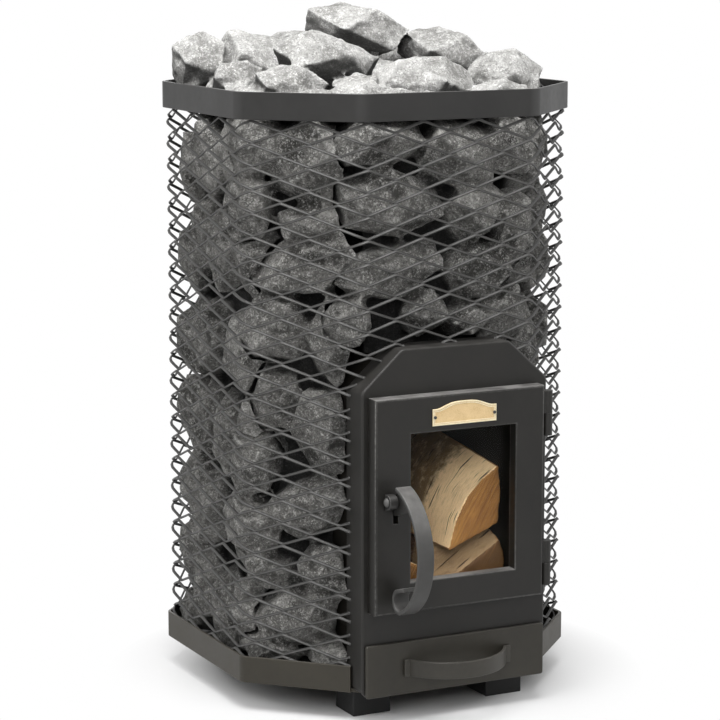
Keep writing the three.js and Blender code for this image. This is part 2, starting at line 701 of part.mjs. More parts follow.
// Nameplate, left bare, with two rivets

function nameplateOutline() {
  const middle = (NAMEPLATE.x0 + NAMEPLATE.x1) / 2;
  const half = (NAMEPLATE.x1 - NAMEPLATE.x0) / 2;
  const rise = NAMEPLATE.crown - NAMEPLATE.z1;
  const crown = Array.from({ length: 21 }, (_, step) => {
    const across = 1 - step / 10;
    const swell = 0.5 + 0.5 * Math.cos(Math.abs(across) ** NAMEPLATE_FULLNESS * Math.PI);
    return new THREE.Vector2(middle + across * NAMEPLATE_EAR * half, NAMEPLATE.z1 + rise * swell);
  });
  return [
    new THREE.Vector2(NAMEPLATE.x0, NAMEPLATE.z0),
    new THREE.Vector2(NAMEPLATE.x1, NAMEPLATE.z0),
    new THREE.Vector2(NAMEPLATE.x1, NAMEPLATE.z1),
    ...crown,
    new THREE.Vector2(NAMEPLATE.x0, NAMEPLATE.z1),
  ];
}
const nameplateBack = DOOR_FRONT - GAP;
const nameplateFront = nameplateBack - NAMEPLATE_THICKNESS;
place(
  "nameplate",
  cut(
    facing(shapeOf(nameplateOutline()), nameplateFront, nameplateBack),
    barY(RIVET_HOLE, nameplateFront - 5, nameplateBack + 5, rivetXs.left, RIVET_Z, 8),
    barY(RIVET_HOLE, nameplateFront - 5, nameplateBack + 5, rivetXs.right, RIVET_Z, 8),
  ),
  MATERIALS.brass,
);
for (const [side, x] of Object.entries(rivetXs)) {
  const shank = barY(1.1, nameplateFront - GAP - 0.5, DOOR_FRONT + DOOR_SKIN, x, RIVET_Z, 8);
  const head = barY(2.1, nameplateFront - GAP - 1, nameplateFront - GAP, x, RIVET_Z, 12);
  place(`nameplate_rivet_${side}`, join(shank, head), MATERIALS.brass);
}

// Door handle with its tongue, pivot lug, bolt and catch; outlines as (y, z)

const outward = ([out, z]) => new THREE.Vector2(outX(out), z);
const bowCentre = new THREE.Vector2(HANDLE_CENTRE_OUT, HANDLE_CENTRE_Z);
const bow = arc(bowCentre, HANDLE_RADIUS, HANDLE_FROM, HANDLE_TO, 22);
const bowEnd = bow[bow.length - 1];
const inwards = bowCentre.clone().sub(bowEnd).normalize();
const curlCentre = bowEnd.clone().addScaledVector(inwards, CURL_RADIUS);
const curl = arc(curlCentre, CURL_RADIUS, HANDLE_TO, CURL_TO, 10).slice(1);
const curlEnd = THREE.MathUtils.degToRad(CURL_TO);
const tailWay = new THREE.Vector2(Math.sin(curlEnd), -Math.cos(curlEnd));
const tail = curl[curl.length - 1].clone().addScaledVector(tailWay, CURL_TAIL);
const handleEdges = strip([...bow, ...curl, tail], HANDLE_THICKNESS);
const handleOutline = handleEdges.map((point) => outward([point.x, point.y]));
place(
  "door_handle",
  sideways(shapeOf(handleOutline), HANDLE_X - HANDLE_WIDTH / 2, HANDLE_X + HANDLE_WIDTH / 2),
  MATERIALS.steel,
);

const tongueRim = arc(bowCentre, HANDLE_RADIUS - HANDLE_THICKNESS / 2 - GAP - 0.3, 70, 48, 5);
const tongueOutline = [
  ...tongueRim,
  new THREE.Vector2(14, 280),
  new THREE.Vector2(2, 277),
  new THREE.Vector2(-33, 277),
  new THREE.Vector2(-33, 302),
  new THREE.Vector2(-28.4, 302),
  new THREE.Vector2(-28.4, 293.5),
  new THREE.Vector2(1, 300),
  new THREE.Vector2(8, 305),
].map((point) => outward([point.x, point.y]));
const pivotHole = barX(PIVOT_BORE, -150, -50, outX(PIVOT_OUT), PIVOT_Z, 12);
const tongueHalf = TONGUE_THICKNESS / 2;
const tongueBlank = sideways(shapeOf(tongueOutline), HANDLE_X - tongueHalf, HANDLE_X + tongueHalf);
place("latch_tongue", cut(tongueBlank, pivotHole), MATERIALS.steel);

const lugOutline = [
  outward([GAP, PIVOT_Z - 12]),
  ...arc(outward([PIVOT_OUT, PIVOT_Z]), 9, 270, 90, 8),
  outward([GAP, PIVOT_Z + 9]),
];
place("handle_lug", cut(sideways(shapeOf(lugOutline), LUG_X0, LUG_X1), pivotHole), MATERIALS.steel);

function pivotBolt() {
  const y = outX(PIVOT_OUT);
  const dome = [
    new THREE.Vector2(0, 0),
    new THREE.Vector2(6, 0),
    new THREE.Vector2(5.6, 1.6),
    new THREE.Vector2(3.9, 3.2),
    new THREE.Vector2(0, 4.2),
  ];
  const head = new THREE.LatheGeometry(dome, 16).rotateZ(Math.PI / 2).translate(LUG_X0 - GAP, y, PIVOT_Z);
  const nutFrom = HANDLE_X + TONGUE_THICKNESS / 2 + GAP;
  const shank = barX(PIVOT_RADIUS, LUG_X0 - GAP - 1, nutFrom + 1, y, PIVOT_Z, 12);
  const nut = barX(5.5, nutFrom, nutFrom + 5, y, PIVOT_Z, 6);
  return join(head, shank, nut);
}
place("pivot_bolt", pivotBolt(), MATERIALS.steel);

const catchBack = outX(-28);
place("latch_catch", box(-115, -92, PLATE_BACK + GAP, catchBack, 302.6, 321), MATERIALS.firebox);

// Ash drawer: front, tray and bowed pull

const drawerBack = PLATE_FRONT - GAP;
const drawerFace = rectangle({ x0: -DRAWER.halfWidth, x1: DRAWER.halfWidth, z0: DRAWER.z0, z1: DRAWER.z1 });
place("drawer_front", facing(shapeOf(rounded(drawerFace, 3)), DRAWER_FRONT, drawerBack), MATERIALS.paint);

const trayFront = drawerBack + GAP;
const trayInside = TRAY_HALF_WIDTH - TRAY_WALL;
place(
  "drawer_tray",
  cut(
    box(-TRAY_HALF_WIDTH, TRAY_HALF_WIDTH, trayFront, TRAY_BACK, TRAY_BOTTOM, TRAY_TOP),
    box(
      -trayInside,
      trayInside,
      trayFront + TRAY_WALL,
      TRAY_BACK - TRAY_WALL,
      TRAY_BOTTOM + TRAY_WALL,
      TRAY_TOP + 5,
    ),
  ),
  MATERIALS.firebox,
);

function drawerPull() {
  const radius = (PULL_HALF_SPAN ** 2 + PULL_BOW ** 2) / (2 * PULL_BOW);
  const base = DRAWER_FRONT - GAP - PULL_THICKNESS / 2;
  const centre = new THREE.Vector2(0, base - PULL_BOW + radius);
  const half = THREE.MathUtils.radToDeg(Math.asin(PULL_HALF_SPAN / radius));
  const bend = arc(centre, radius, 270 - half, 270 + half, 16);
  const line = [
    new THREE.Vector2(-PULL_HALF_SPAN - PULL_FOOT, base),
    ...bend,
    new THREE.Vector2(PULL_HALF_SPAN + PULL_FOOT, base),
  ];
  return standing(shapeOf(strip(line, PULL_THICKNESS)), PULL_Z0, PULL_Z1);
}
place("drawer_pull", drawerPull(), MATERIALS.steel);

// Stones: rough convex lumps, packed between the cage and the firebox and heaped on top.
// A face's list gives, for each stone, its place along the face, its height, its width,
// its tall size and its tilt in degrees, as seen from outside.

function randomFrom(seed) {
  let state = seed;
  return () => {
    state = (state + 0x6d2b79f5) | 0;
    let mixed = Math.imul(state ^ (state >>> 15), 1 | state);
    mixed = (mixed + Math.imul(mixed ^ (mixed >>> 7), 61 | mixed)) ^ mixed;
    return ((mixed ^ (mixed >>> 14)) >>> 0) / 4294967296;
  };
}

// Corners spread evenly over a squared-off ball, each moved a little
function lumpCorners(count, random) {
  const golden = Math.PI * (3 - Math.sqrt(5));
  const spin = random() * Math.PI * 2;
  return Array.from({ length: count }, (_, index) => {
    const level = 1 - (2 * (index + 0.5)) / count;
    const ring = Math.sqrt(1 - level * level);
    const angle = spin + index * golden + (random() - 0.5) * 0.6;
    const way = new THREE.Vector3(Math.cos(angle) * ring, Math.sin(angle) * ring, level);
    const power = STONE_SQUARENESS;
    const norm = Math.abs(way.x) ** power + Math.abs(way.y) ** power + Math.abs(way.z) ** power;
    return way.multiplyScalar((0.88 + 0.17 * random()) / norm ** (1 / power));
  });
}

// A stone and the slightly larger space that it keeps free of others
function makeStone({ centre, half, tilt, turn, seed, corners: count }) {
  const corners = lumpCorners(count, randomFrom(seed));
  const pose = new THREE.Euler(0, THREE.MathUtils.degToRad(-tilt), turn, "ZYX");
  const sized = (extra) =>
    corners.map((corner) =>
      corner
        .clone()
        .multiply(new THREE.Vector3(half[0] + extra, half[1] + extra, half[2] + extra))
        .applyEuler(pose)
        .add(centre),
    );
  return {
    body: solid(new ConvexGeometry(sized(0))),
    space: solid(new ConvexGeometry(sized(STONE_CLEARANCE))),
  };
}

const cageInside = solid(standing(shapeOf(cagePlan(MESH_INSET + MESH_THICKNESS + 0.8)), STONE_FLOOR, 1000));
const fireboxSpace = plateOutline(FIREBOX_HALF_WIDTH + 1, 0, FIREBOX_TOP + 1, FIREBOX_CUT_X, FIREBOX_CUT_Z);
const overFirebox = solid(box(-FIREBOX_HALF_WIDTH - 1, FIREBOX_HALF_WIDTH + 1, -300, 300, 0, 1000));
const besideFirebox = cageInside.subtract(overFirebox);
let taken = solid(facing(shapeOf(fireboxSpace), -300, FIREBOX_BACK + 1))
  .add(solid(facing(shapeOf(plateGrown(1, 0)), -300, PLATE_FLANGE_BACK + 1)))
  .add(solid(barY(FLUE_RADIUS + 1.5, 100, 320, 0, FLUE_Z, 24)))
  .add(solid(barY(FLUE_FLANGE_RADIUS + 1.5, 130, FIREBOX_BACK + FLUE_WALL + 2, 0, FLUE_Z, 24)));

// A group of stones and the packed mass behind them, trimmed to the free space
function placeStones(name, stones, packing, room = cageInside) {
  const made = stones.map(makeStone);
  const whole = made.reduce((heap, { body }) => heap.add(body), packing);
  place(name, geometryOf(largestBody(whole.intersect(room).subtract(taken))), MATERIALS.stone);
  taken = made.reduce((spaces, { space }) => spaces.add(space), taken.add(packing));
}

// The packed mass of smaller stones behind those that show on a face: a wedge in plan
function packingBehind(name, z0, z1) {
  const { distance, radians, halfSide } = FACES[name];
  const half = (depth) => halfSide - depth * EIGHTH - PACKING_JOINT;
  const wedge = [
    new THREE.Vector2(-half(PACKING_DEPTH), PACKING_DEPTH - distance),
    new THREE.Vector2(half(PACKING_DEPTH), PACKING_DEPTH - distance),
    new THREE.Vector2(half(PACKING_BACK), PACKING_BACK - distance),
    new THREE.Vector2(-half(PACKING_BACK), PACKING_BACK - distance),
  ];
  return solid(standing(shapeOf(wedge), z0, z1).rotateZ(radians));
}

// Stones of a list, with their outer sides at a reach from the middle, turned to look outwards
function setOut(list, reach, turn, depth, seed, corners) {
  return list.map(([along, z, wide, tall, tilt], index) => ({
    centre: new THREE.Vector3(along, depth / 2 - reach, z).applyAxisAngle(new THREE.Vector3(0, 0, 1), turn),
    half: [wide / 2, depth / 2, tall / 2],
    tilt,
    turn,
    seed: seed + index,
    corners,
  }));
}

// Listed stones made wider and taller, so that neighbours press against each other
function fuller(list) {
  return list.map(([along, z, wide, tall, tilt]) => [along, z, STONE_FILL * wide, STONE_FILL * tall, tilt]);
}

// Stones listed on a face, set just inside the metal
function onFace(name, list, depth, seed, corners) {
  const { distance, radians } = FACES[name];
  return setOut(list, distance - MESH_INSET - MESH_THICKNESS - 2, radians, depth, seed, corners);
}

// Stones listed on the upright edge at the right-hand end of a face, wedged into the corner
function onEdge(name, list, inset, depth, seed, corners) {
  const { distance, radians, halfSide } = FACES[name];
  const turn = radians + Math.atan2(halfSide, distance);
  return setOut(list, Math.hypot(halfSide, distance) - inset, turn, depth, seed, corners);
}

// Courses of stones of mixed sizes for the faces that are all alike
function courses(halfWidth, z0, z1, perCourse, seed) {
  const random = randomFrom(seed);
  const count = Math.round((z1 - z0) / COURSE_HEIGHT);
  const tall = (z1 - z0) / count;
  const list = [];
  for (let course = 0; course < count; course += 1) {
    const stones = perCourse - (course % 2);
    const wide = (2 * halfWidth) / Math.max(stones, 1);
    for (let index = 0; index < Math.max(stones, 1); index += 1) {
      const along = -halfWidth + (index + 0.5) * wide + (random() - 0.5) * 18;
      const z = z0 + (course + 0.5) * tall + (random() - 0.5) * 20;
      const size = 1.04 + 0.2 * random();
      list.push([along, z, wide * size, tall * (1.02 + 0.2 * random()), (random() - 0.5) * 40]);
    }
  }
  return list;
}

const frontStones = [
  [-77, 740, 130, 66, 4],
  [40, 719, 118, 96, -12],
  [105, 732, 58, 86, 10],
  [-62, 663, 146, 92, -8],
  [56, 647, 100, 76, 14],
  [110, 617, 52, 108, -8],
  [-64, 575, 146, 76, 10],
  [58, 569, 104, 84, -10],
  [-16, 520, 66, 62, 20],
  [-116, 515, 62, 74, -15],
  [95, 510, 76, 84, 12],
  [42, 507, 72, 50, -6],
];
const frontLeftStones = [
  [6, 715, 122, 112, -14],
  [-77, 736, 80, 86, 12],
  [-89, 655, 78, 86, -10],
  [1, 637, 96, 52, 6],
  [-4, 583, 165, 78, 15],
  [36, 488, 86, 118, -6],
  [-51, 496, 98, 92, 12],
  [-55, 410, 70, 82, -18],
  [17, 371, 88, 112, 14],
  [-81, 323, 74, 94, -10],
  [-1, 270, 128, 80, 16],
  [-85, 238, 92, 78, -12],
  [17, 179, 80, 84, 10],
  [-61, 183, 68, 56, -14],
  [-22, 125, 126, 80, 12],
  [-56, 75, 84, 52, -6],
  [27, 75, 80, 50, 8],
];
const leftEdgeStones = [
  [4, 688, 80, 112, 9],
  [-5, 566, 84, 116, -11],
  [6, 458, 78, 112, 14],
  [-4, 358, 86, 108, -8],
  [5, 260, 80, 110, 12],
  [-6, 164, 84, 108, -13],
  [3, 82, 88, 84, 6],
];
const rightEdgeStones = [
  [4, 724, 78, 88, -12],
  [-6, 645, 84, 96, 10],
  [5, 558, 80, 98, -9],
  [-4, 478, 84, 84, 13],
];
const besideFlue = (side) => [
  [side * 96, 345, 84, 80, 10],
  [side * 98, 430, 80, 84, -14],
];
const heapFloor = 772;
const heapStones = [
  [-192, 112, 826, 88, 84, 96, 8],
  [-118, 98, 822, 122, 110, 104, -10],
  [-172, 36, 806, 78, 70, 66, 14],
  [-137, -66, 801, 132, 96, 66, -6],
  [-60, -4, 828, 172, 118, 84, -17],
  [30, 88, 868, 150, 112, 76, -9],
  [150, 52, 832, 146, 112, 76, -14],
  [37, -104, 805, 164, 118, 92, -5],
  [171, -66, 809, 112, 96, 88, -14],
  [201, -84, 797, 52, 48, 46, 20],
  [-89, -150, 793, 96, 84, 52, 6],
  [105, -168, 791, 92, 70, 46, 10],
  [-20, 178, 824, 128, 92, 98, 12],
  [106, 172, 818, 118, 96, 88, -10],
  [-112, 190, 806, 92, 72, 74, 8],
  [20, 40, 800, 130, 110, 80, 0],
];
const lowHeapStones = [
  [-201, -62, 789, 74, 76, 44, 6],
  [-31, -188, 787, 100, 70, 44, -8],
  [190, 122, 796, 84, 92, 66, 12],
  [106, -26, 790, 104, 92, 62, -6],
  [-55, -92, 795, 92, 78, 56, 10],
  [196, 24, 786, 72, 84, 48, 4],
  [143, -138, 787, 88, 78, 44, -10],
  [-157, -136, 787, 88, 84, 42, 8],
  [25, -200, 785, 72, 56, 38, 5],
  [-52, 128, 798, 96, 84, 70, -6],
  [38, 196, 788, 84, 66, 50, 8],
];
const coreStones = [[-50, -52], [54, -50], [-52, 54], [50, 52]].map(([x, y], index) => ({
  centre: new THREE.Vector3(x, y, 624),
  half: [58, 58, 158],
  tilt: 0,
  turn: 0.7 * index,
  seed: 900 + index,
  corners: HIDDEN_STONE_CORNERS,
}));
const heaped = (list, seed, corners) =>
  list.map(([x, y, z, wide, deep, tall, tilt], index) => ({
    centre: new THREE.Vector3(x, y, z),
    half: [wide / 2, deep / 2, tall / 2],
    tilt,
    turn: 0.15 * ((index % 5) - 2),
    seed: seed + index,
    corners,
  }));

const shown = STONE_CORNERS;
const hidden = HIDDEN_STONE_CORNERS;
const bottom = STONE_FLOOR;
placeStones(
  "stones_front",
  onFace("front", fuller(frontStones), 92, 100, shown),
  packingBehind("front", FIREBOX_TOP + 2, heapFloor - 8),
);
placeStones(
  "stones_front_left",
  onFace("front_left", fuller(frontLeftStones), 92, 200, shown),
  packingBehind("front_left", bottom, heapFloor - 8),
  besideFirebox,
);
placeStones(
  "stones_left",
  [
    ...onFace("left", courses(108, bottom, heapFloor, 3, 31), 100, 300, shown),
    ...onEdge("rear_left", leftEdgeStones, 14, 96, 340, shown),
  ],
  packingBehind("left", bottom, heapFloor - 8),
);
placeStones(
  "stones_rear_left",
  onFace("rear_left", courses(58, bottom, heapFloor, 2, 41), 96, 400, hidden),
  packingBehind("rear_left", bottom, heapFloor - 8),
);
placeStones(
  "stones_rear_lower",
  onFace("rear", courses(108, bottom, 336, 3, 51), 92, 500, hidden),
  packingBehind("rear", bottom, 334),
);
const overFlue = [...courses(108, 456, heapFloor, 3, 61), ...besideFlue(-1), ...besideFlue(1)];
placeStones(
  "stones_rear_upper",
  onFace("rear", overFlue, 92, 550, hidden),
  packingBehind("rear", 337, heapFloor - 8),
);
placeStones(
  "stones_rear_right",
  onFace("rear_right", courses(58, bottom, heapFloor, 2, 71), 96, 600, hidden),
  packingBehind("rear_right", bottom, heapFloor - 8),
);
placeStones(
  "stones_right",
  [
    ...onFace("right", courses(108, bottom, heapFloor, 3, 81), 100, 700, hidden),
    ...onEdge("front_right", rightEdgeStones, 19, 96, 740, shown),
  ],
  packingBehind("right", bottom, heapFloor - 8),
);
placeStones(
  "stones_front_right",
  onFace("front_right", courses(58, bottom, heapFloor, 2, 91), 92, 800, hidden),
  packingBehind("front_right", bottom, heapFloor - 8),
  besideFirebox,
);
placeStones(
  "stones_heap",
  [...coreStones, ...heaped(heapStones, 1000, shown), ...heaped(lowHeapStones, 1016, hidden)],
  solid(standing(shapeOf(cagePlan(26)), heapFloor - 6, heapFloor + 4)),
);

// The frame's origin is on the floor, under the middle of the whole stove
stove.updateMatrixWorld(true);
const extent = new THREE.Box3().setFromObject(stove);
stove.position.y = -(extent.min.y + extent.max.y) / 2;

export default stove;
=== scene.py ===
"""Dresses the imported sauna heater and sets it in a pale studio.

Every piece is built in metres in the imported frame: +Z is up, the door faces -Y and the floor is z = 0.
"""

import logging
import math
from collections.abc import Callable, Sequence
from dataclasses import dataclass
from enum import Enum
from functools import cache

import bmesh
import bpy
from mathutils import Euler, Matrix, Vector, noise


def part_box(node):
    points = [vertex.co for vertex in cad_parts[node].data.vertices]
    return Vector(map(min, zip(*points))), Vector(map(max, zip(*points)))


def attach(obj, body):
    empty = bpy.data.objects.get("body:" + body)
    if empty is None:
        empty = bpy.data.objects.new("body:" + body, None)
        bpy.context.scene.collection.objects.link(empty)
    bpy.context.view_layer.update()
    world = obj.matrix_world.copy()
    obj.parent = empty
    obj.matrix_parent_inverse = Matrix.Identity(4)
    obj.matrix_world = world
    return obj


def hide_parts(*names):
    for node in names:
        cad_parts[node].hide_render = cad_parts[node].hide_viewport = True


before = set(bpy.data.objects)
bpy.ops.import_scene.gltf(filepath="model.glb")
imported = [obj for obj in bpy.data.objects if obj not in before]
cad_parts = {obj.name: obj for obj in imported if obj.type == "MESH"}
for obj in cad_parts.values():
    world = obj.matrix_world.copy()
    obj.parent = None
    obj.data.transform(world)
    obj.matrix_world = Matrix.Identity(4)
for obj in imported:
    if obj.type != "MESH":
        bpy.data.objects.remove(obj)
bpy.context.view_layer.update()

log = logging.getLogger("sauna_heater")

Colour = tuple[float, float, float]
Wire = bpy.types.NodeSocket | float | tuple[float, ...]


def mm(value: float) -> float:
    """Gives millimetres in metres."""
    return value / 1000


# The cage's middle lies behind the middle of the whole, which the handle and the flue lengthen.
CAGE_MIDDLE_Y = (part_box("top_rim")[0].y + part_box("top_rim")[1].y) / 2


def at(x: float, y: float, z: float) -> Vector:
    """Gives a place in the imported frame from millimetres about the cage's middle on the floor."""
    return Vector((mm(x), mm(y) + CAGE_MIDDLE_Y, mm(z)))


class Body(Enum):
    """The moving bodies that a piece can ride on."""

    STOVE = "stove"
    DOOR = "door"
    HANDLE = "handle"
    DRAWER = "drawer"


class Slot(Enum):
    """The record's material slots."""

    PLATE = "plate_paint"
    RIM = "rim_paint"
    FOOT = "foot_paint"
    MESH = "mesh_steel"
    FIRE = "fire_steel"
    IRON = "cast_iron"
    STEEL = "bare_steel"
    BRASS = "brass"
    ROPE = "rope"
    STONE = "stone"
    BIRCH = "birch"
    GLASS = "glass"


class StoneMark(Enum):
    """What a stone's mesh says of each of its points, for the rock's finish."""

    # How deep a point lies in a hollow, which the rock's finish paints in shade.
    HOLLOW = "hollow"
    RIDGE = "ridge"
    FACET = "facet"


# Shader writing


class Graph:
    """A node tree that is being written, for a material or for a shared effect."""

    def __init__(self, tree: bpy.types.NodeTree) -> None:
        """Takes the tree to write in."""
        self.tree = tree

    def add(self, kind: str, wires: dict[str | int, Wire] | None = None, **settings: object) -> bpy.types.Node:
        """Adds a node and wires its inputs.

        Args:
            kind: Blender's node type without its "ShaderNode" prefix.
            wires: a value or an output socket for each input, by name or number.
            settings: the node's own properties.

        Returns:
            The new node.
        """
        node = self.tree.nodes.new("ShaderNode" + kind)
        for name, value in settings.items():
            setattr(node, name, value)
        for name, value in (wires or {}).items():
            if isinstance(value, bpy.types.NodeSocket):
                self.tree.links.new(value, node.inputs[name])
            else:
                node.inputs[name].default_value = value
        return node

    def place(self) -> bpy.types.NodeSocket:
        """Gives the piece's own coordinates, in metres."""
        return self.add("TexCoord").outputs["Object"]

    def stretched(self, scale: tuple[float, float, float], turn: tuple[float, ...] = (0, 0, 0)) -> bpy.types.NodeSocket:
        """Gives the piece's own coordinates, turned and then stretched along each axis."""
        turned = self.add("VectorRotate", {"Vector": self.place(), "Rotation": turn}, rotation_type="EULER_XYZ")
        return self.add("Mapping", {"Vector": turned.outputs[0], "Scale": scale}).outputs[0]

    def noise(self, scale: Wire, detail: float = 3.0, rough: float = 0.55, vector: Wire | None = None) -> bpy.types.NodeSocket:
        """Gives a noise value.

        Args:
            scale: how often it repeats in a metre.
            detail: how many finer layers it has.
            rough: how strong the finer layers are.
            vector: coordinates other than the piece's own.

        Returns:
            The value's socket, mostly between 0.25 and 0.75.
        """
        wires = {"Vector": vector or self.place(), "Scale": scale, "Detail": detail, "Roughness": rough}
        return self.add("TexNoise", wires).outputs["Fac"]

    def sum(self, operation: str, first: Wire, second: Wire = 0.5) -> bpy.types.NodeSocket:
        """Gives the result of a maths node."""
        return self.add("Math", {0: first, 1: second}, operation=operation).outputs[0]

    def ranged(self, value: Wire, low: float, high: float, to_low: Wire = 0.0, to_high: Wire = 1.0) -> bpy.types.NodeSocket:
        """Gives a value mapped from low..high to to_low..to_high, and held there."""
        wires = {"Value": value, "From Min": low, "From Max": high, "To Min": to_low, "To Max": to_high}
        return self.add("MapRange", wires).outputs[0]

    def mix(self, share: Wire, first: Wire, second: Wire, blend: str = "MIX") -> bpy.types.NodeSocket:
        """Gives a mix of two colours."""
        wires = {0: share, 6: opaque(first), 7: opaque(second)}
        return self.add("Mix", wires, data_type="RGBA", blend_type=blend).outputs[2]

    def bump(self, height: Wire, depth: float, normal: Wire | None = None) -> bpy.types.NodeSocket:
        """Gives a normal roughened by a height of the given depth in metres."""
        wires = {"Height": height, "Distance": depth, "Strength": 1.0}
        if normal is not None:
            wires["Normal"] = normal
        return self.add("Bump", wires).outputs[0]

    def effect(self, tree: bpy.types.NodeTree, **inputs: Wire) -> bpy.types.Node:
        """Places a shared effect with its own values."""
        node = self.tree.nodes.new("ShaderNodeGroup")
        node.node_tree = tree
        for name, value in inputs.items():
            if isinstance(value, bpy.types.NodeSocket):
                self.tree.links.new(value, node.inputs[name])
            else:
                node.inputs[name].default_value = value
        return node

    def principled(self, **inputs: Wire) -> bpy.types.Node:
        """Adds the surface shader, with its inputs named with underscores for spaces."""
        return self.add("BsdfPrincipled", {name.replace("_", " "): value for name, value in inputs.items()})

    def surface(self, shader: bpy.types.Node) -> None:
        """Ends a material on its surface shader."""
        self.add("OutputMaterial", {"Surface": shader.outputs[0]})


def opaque(colour: Wire) -> Wire:
    """Gives a colour its full alpha, and leaves a socket as it is."""
    return (*colour, 1.0) if isinstance(colour, tuple) and len(colour) == 3 else colour


def new_material(name: str) -> tuple[bpy.types.Material, Graph]:
    """Starts an empty material."""
    material = bpy.data.materials.new(name)
    material.use_nodes = True
    material.node_tree.nodes.clear()
    return material, Graph(material.node_tree)


def new_effect(name: str, inputs: dict[str, float], outputs: dict[str, str]) -> tuple[Graph, bpy.types.Node, bpy.types.Node]:
    """Starts a shared effect.

    Args:
        name: the effect's name.
        inputs: each number that a material sets, and its usual value.
        outputs: each output and its kind, Float, Color or Vector.

    Returns:
        The tree to write in, its input node and its output node.
    """
    tree = bpy.data.node_groups.new(name, "ShaderNodeTree")
    for label, value in inputs.items():
        socket = tree.interface.new_socket(name=label, in_out="INPUT", socket_type="NodeSocketFloat")
        socket.default_value = value
    for label, kind in outputs.items():
        tree.interface.new_socket(name=label, in_out="OUTPUT", socket_type=f"NodeSocket{kind}")
    return Graph(tree), tree.nodes.new("NodeGroupInput"), tree.nodes.new("NodeGroupOutput")


@cache
def edge_wear() -> bpy.types.NodeTree:
    """Finds worn edges, and rounds the normal over them.

    Returns:
        The effect, with inputs Width and Breakup and outputs Mask and Normal.
    """
    graph, given, out = new_effect("edge wear", {"Width": 0.001, "Breakup": 220.0}, {"Mask": "Float", "Normal": "Vector"})
    rounded = graph.add("Bevel", {"Radius": given.outputs["Width"]}, samples=6)
    true = graph.add("NewGeometry").outputs["True Normal"]
    along = graph.add("VectorMath", {0: rounded.outputs[0], 1: true}, operation="DOT_PRODUCT").outputs["Value"]
    edge = graph.ranged(along, 0.995, 0.86)
    patches = graph.ranged(graph.noise(given.outputs["Breakup"], 4.0, 0.6), 0.38, 0.62, 0.25, 1.0)
    graph.tree.links.new(graph.sum("MULTIPLY", edge, patches), out.inputs["Mask"])
    graph.tree.links.new(rounded.outputs[0], out.inputs["Normal"])
    return graph.tree


@cache
def mottle() -> bpy.types.NodeTree:
    """Makes a cloudy unevenness in two sizes.

    Returns:
        The effect, with inputs Scale and Contrast and output Value, which keeps about 1.
    """
    graph, given, out = new_effect("mottle", {"Scale": 20.0, "Contrast": 0.3}, {"Value": "Float"})
    broad = graph.noise(given.outputs["Scale"], 4.0, 0.6)
    fine = graph.noise(graph.sum("MULTIPLY", given.outputs["Scale"], 9.0), 2.0, 0.5)
    both = graph.sum("ADD", graph.sum("MULTIPLY", broad, 1.4), graph.sum("MULTIPLY", fine, 0.6))
    swing = graph.sum("MULTIPLY", graph.sum("SUBTRACT", both, 1.0), given.outputs["Contrast"])
    graph.tree.links.new(graph.sum("ADD", swing, 1.0), out.inputs["Value"])
    return graph.tree


@cache
def fine_grain() -> bpy.types.NodeTree:
    """Makes the height of a finely pitted or orange-peel skin.

    Returns:
        The effect, with input Scale and output Height from 0 to 1.
    """
    graph, given, out = new_effect("fine grain", {"Scale": 900.0}, {"Height": "Float"})
    peel = graph.noise(given.outputs["Scale"], 2.0, 0.5)
    waves = graph.noise(graph.sum("MULTIPLY", given.outputs["Scale"], 0.12), 2.0, 0.5)
    graph.tree.links.new(graph.sum("ADD", graph.sum("MULTIPLY", peel, 0.45), graph.sum("MULTIPLY", waves, 0.55)), out.inputs["Height"])
    return graph.tree


@cache
def dust_and_top_light() -> bpy.types.NodeTree:
    """Finds upward faces in patches: where stone dust and ash settle, and on the door and the handle a painted
    highlight of the lamps above.

    Returns:
        The effect, with input Scale and output Mask.
    """
    graph, given, out = new_effect("dust and painted top light", {"Scale": 60.0}, {"Mask": "Float"})
    up = graph.add("SeparateXYZ", {0: graph.add("NewGeometry").outputs["Normal"]}).outputs["Z"]
    facing = graph.ranged(up, 0.25, 0.95)
    patches = graph.ranged(graph.noise(given.outputs["Scale"], 4.0, 0.55), 0.2, 0.72)
    graph.tree.links.new(graph.sum("MULTIPLY", facing, patches), out.inputs["Mask"])
    return graph.tree


@cache
def fibres() -> bpy.types.NodeTree:
    """Makes wood fibres that run along the logs, front to back.

    Returns:
        The effect, with inputs Across and Along, how often they change in a metre, and output Value.
    """
    graph, given, out = new_effect("fibres", {"Across": 320.0, "Along": 9.0}, {"Value": "Float"})
    spread = graph.add("CombineXYZ", {0: given.outputs["Across"], 1: given.outputs["Along"], 2: given.outputs["Across"]})
    way = graph.add("VectorMath", {0: graph.place(), 1: spread.outputs[0]}, operation="MULTIPLY").outputs[0]
    graph.tree.links.new(graph.noise(1.0, 4.0, 0.6, way), out.inputs["Value"])
    return graph.tree


# Finishes


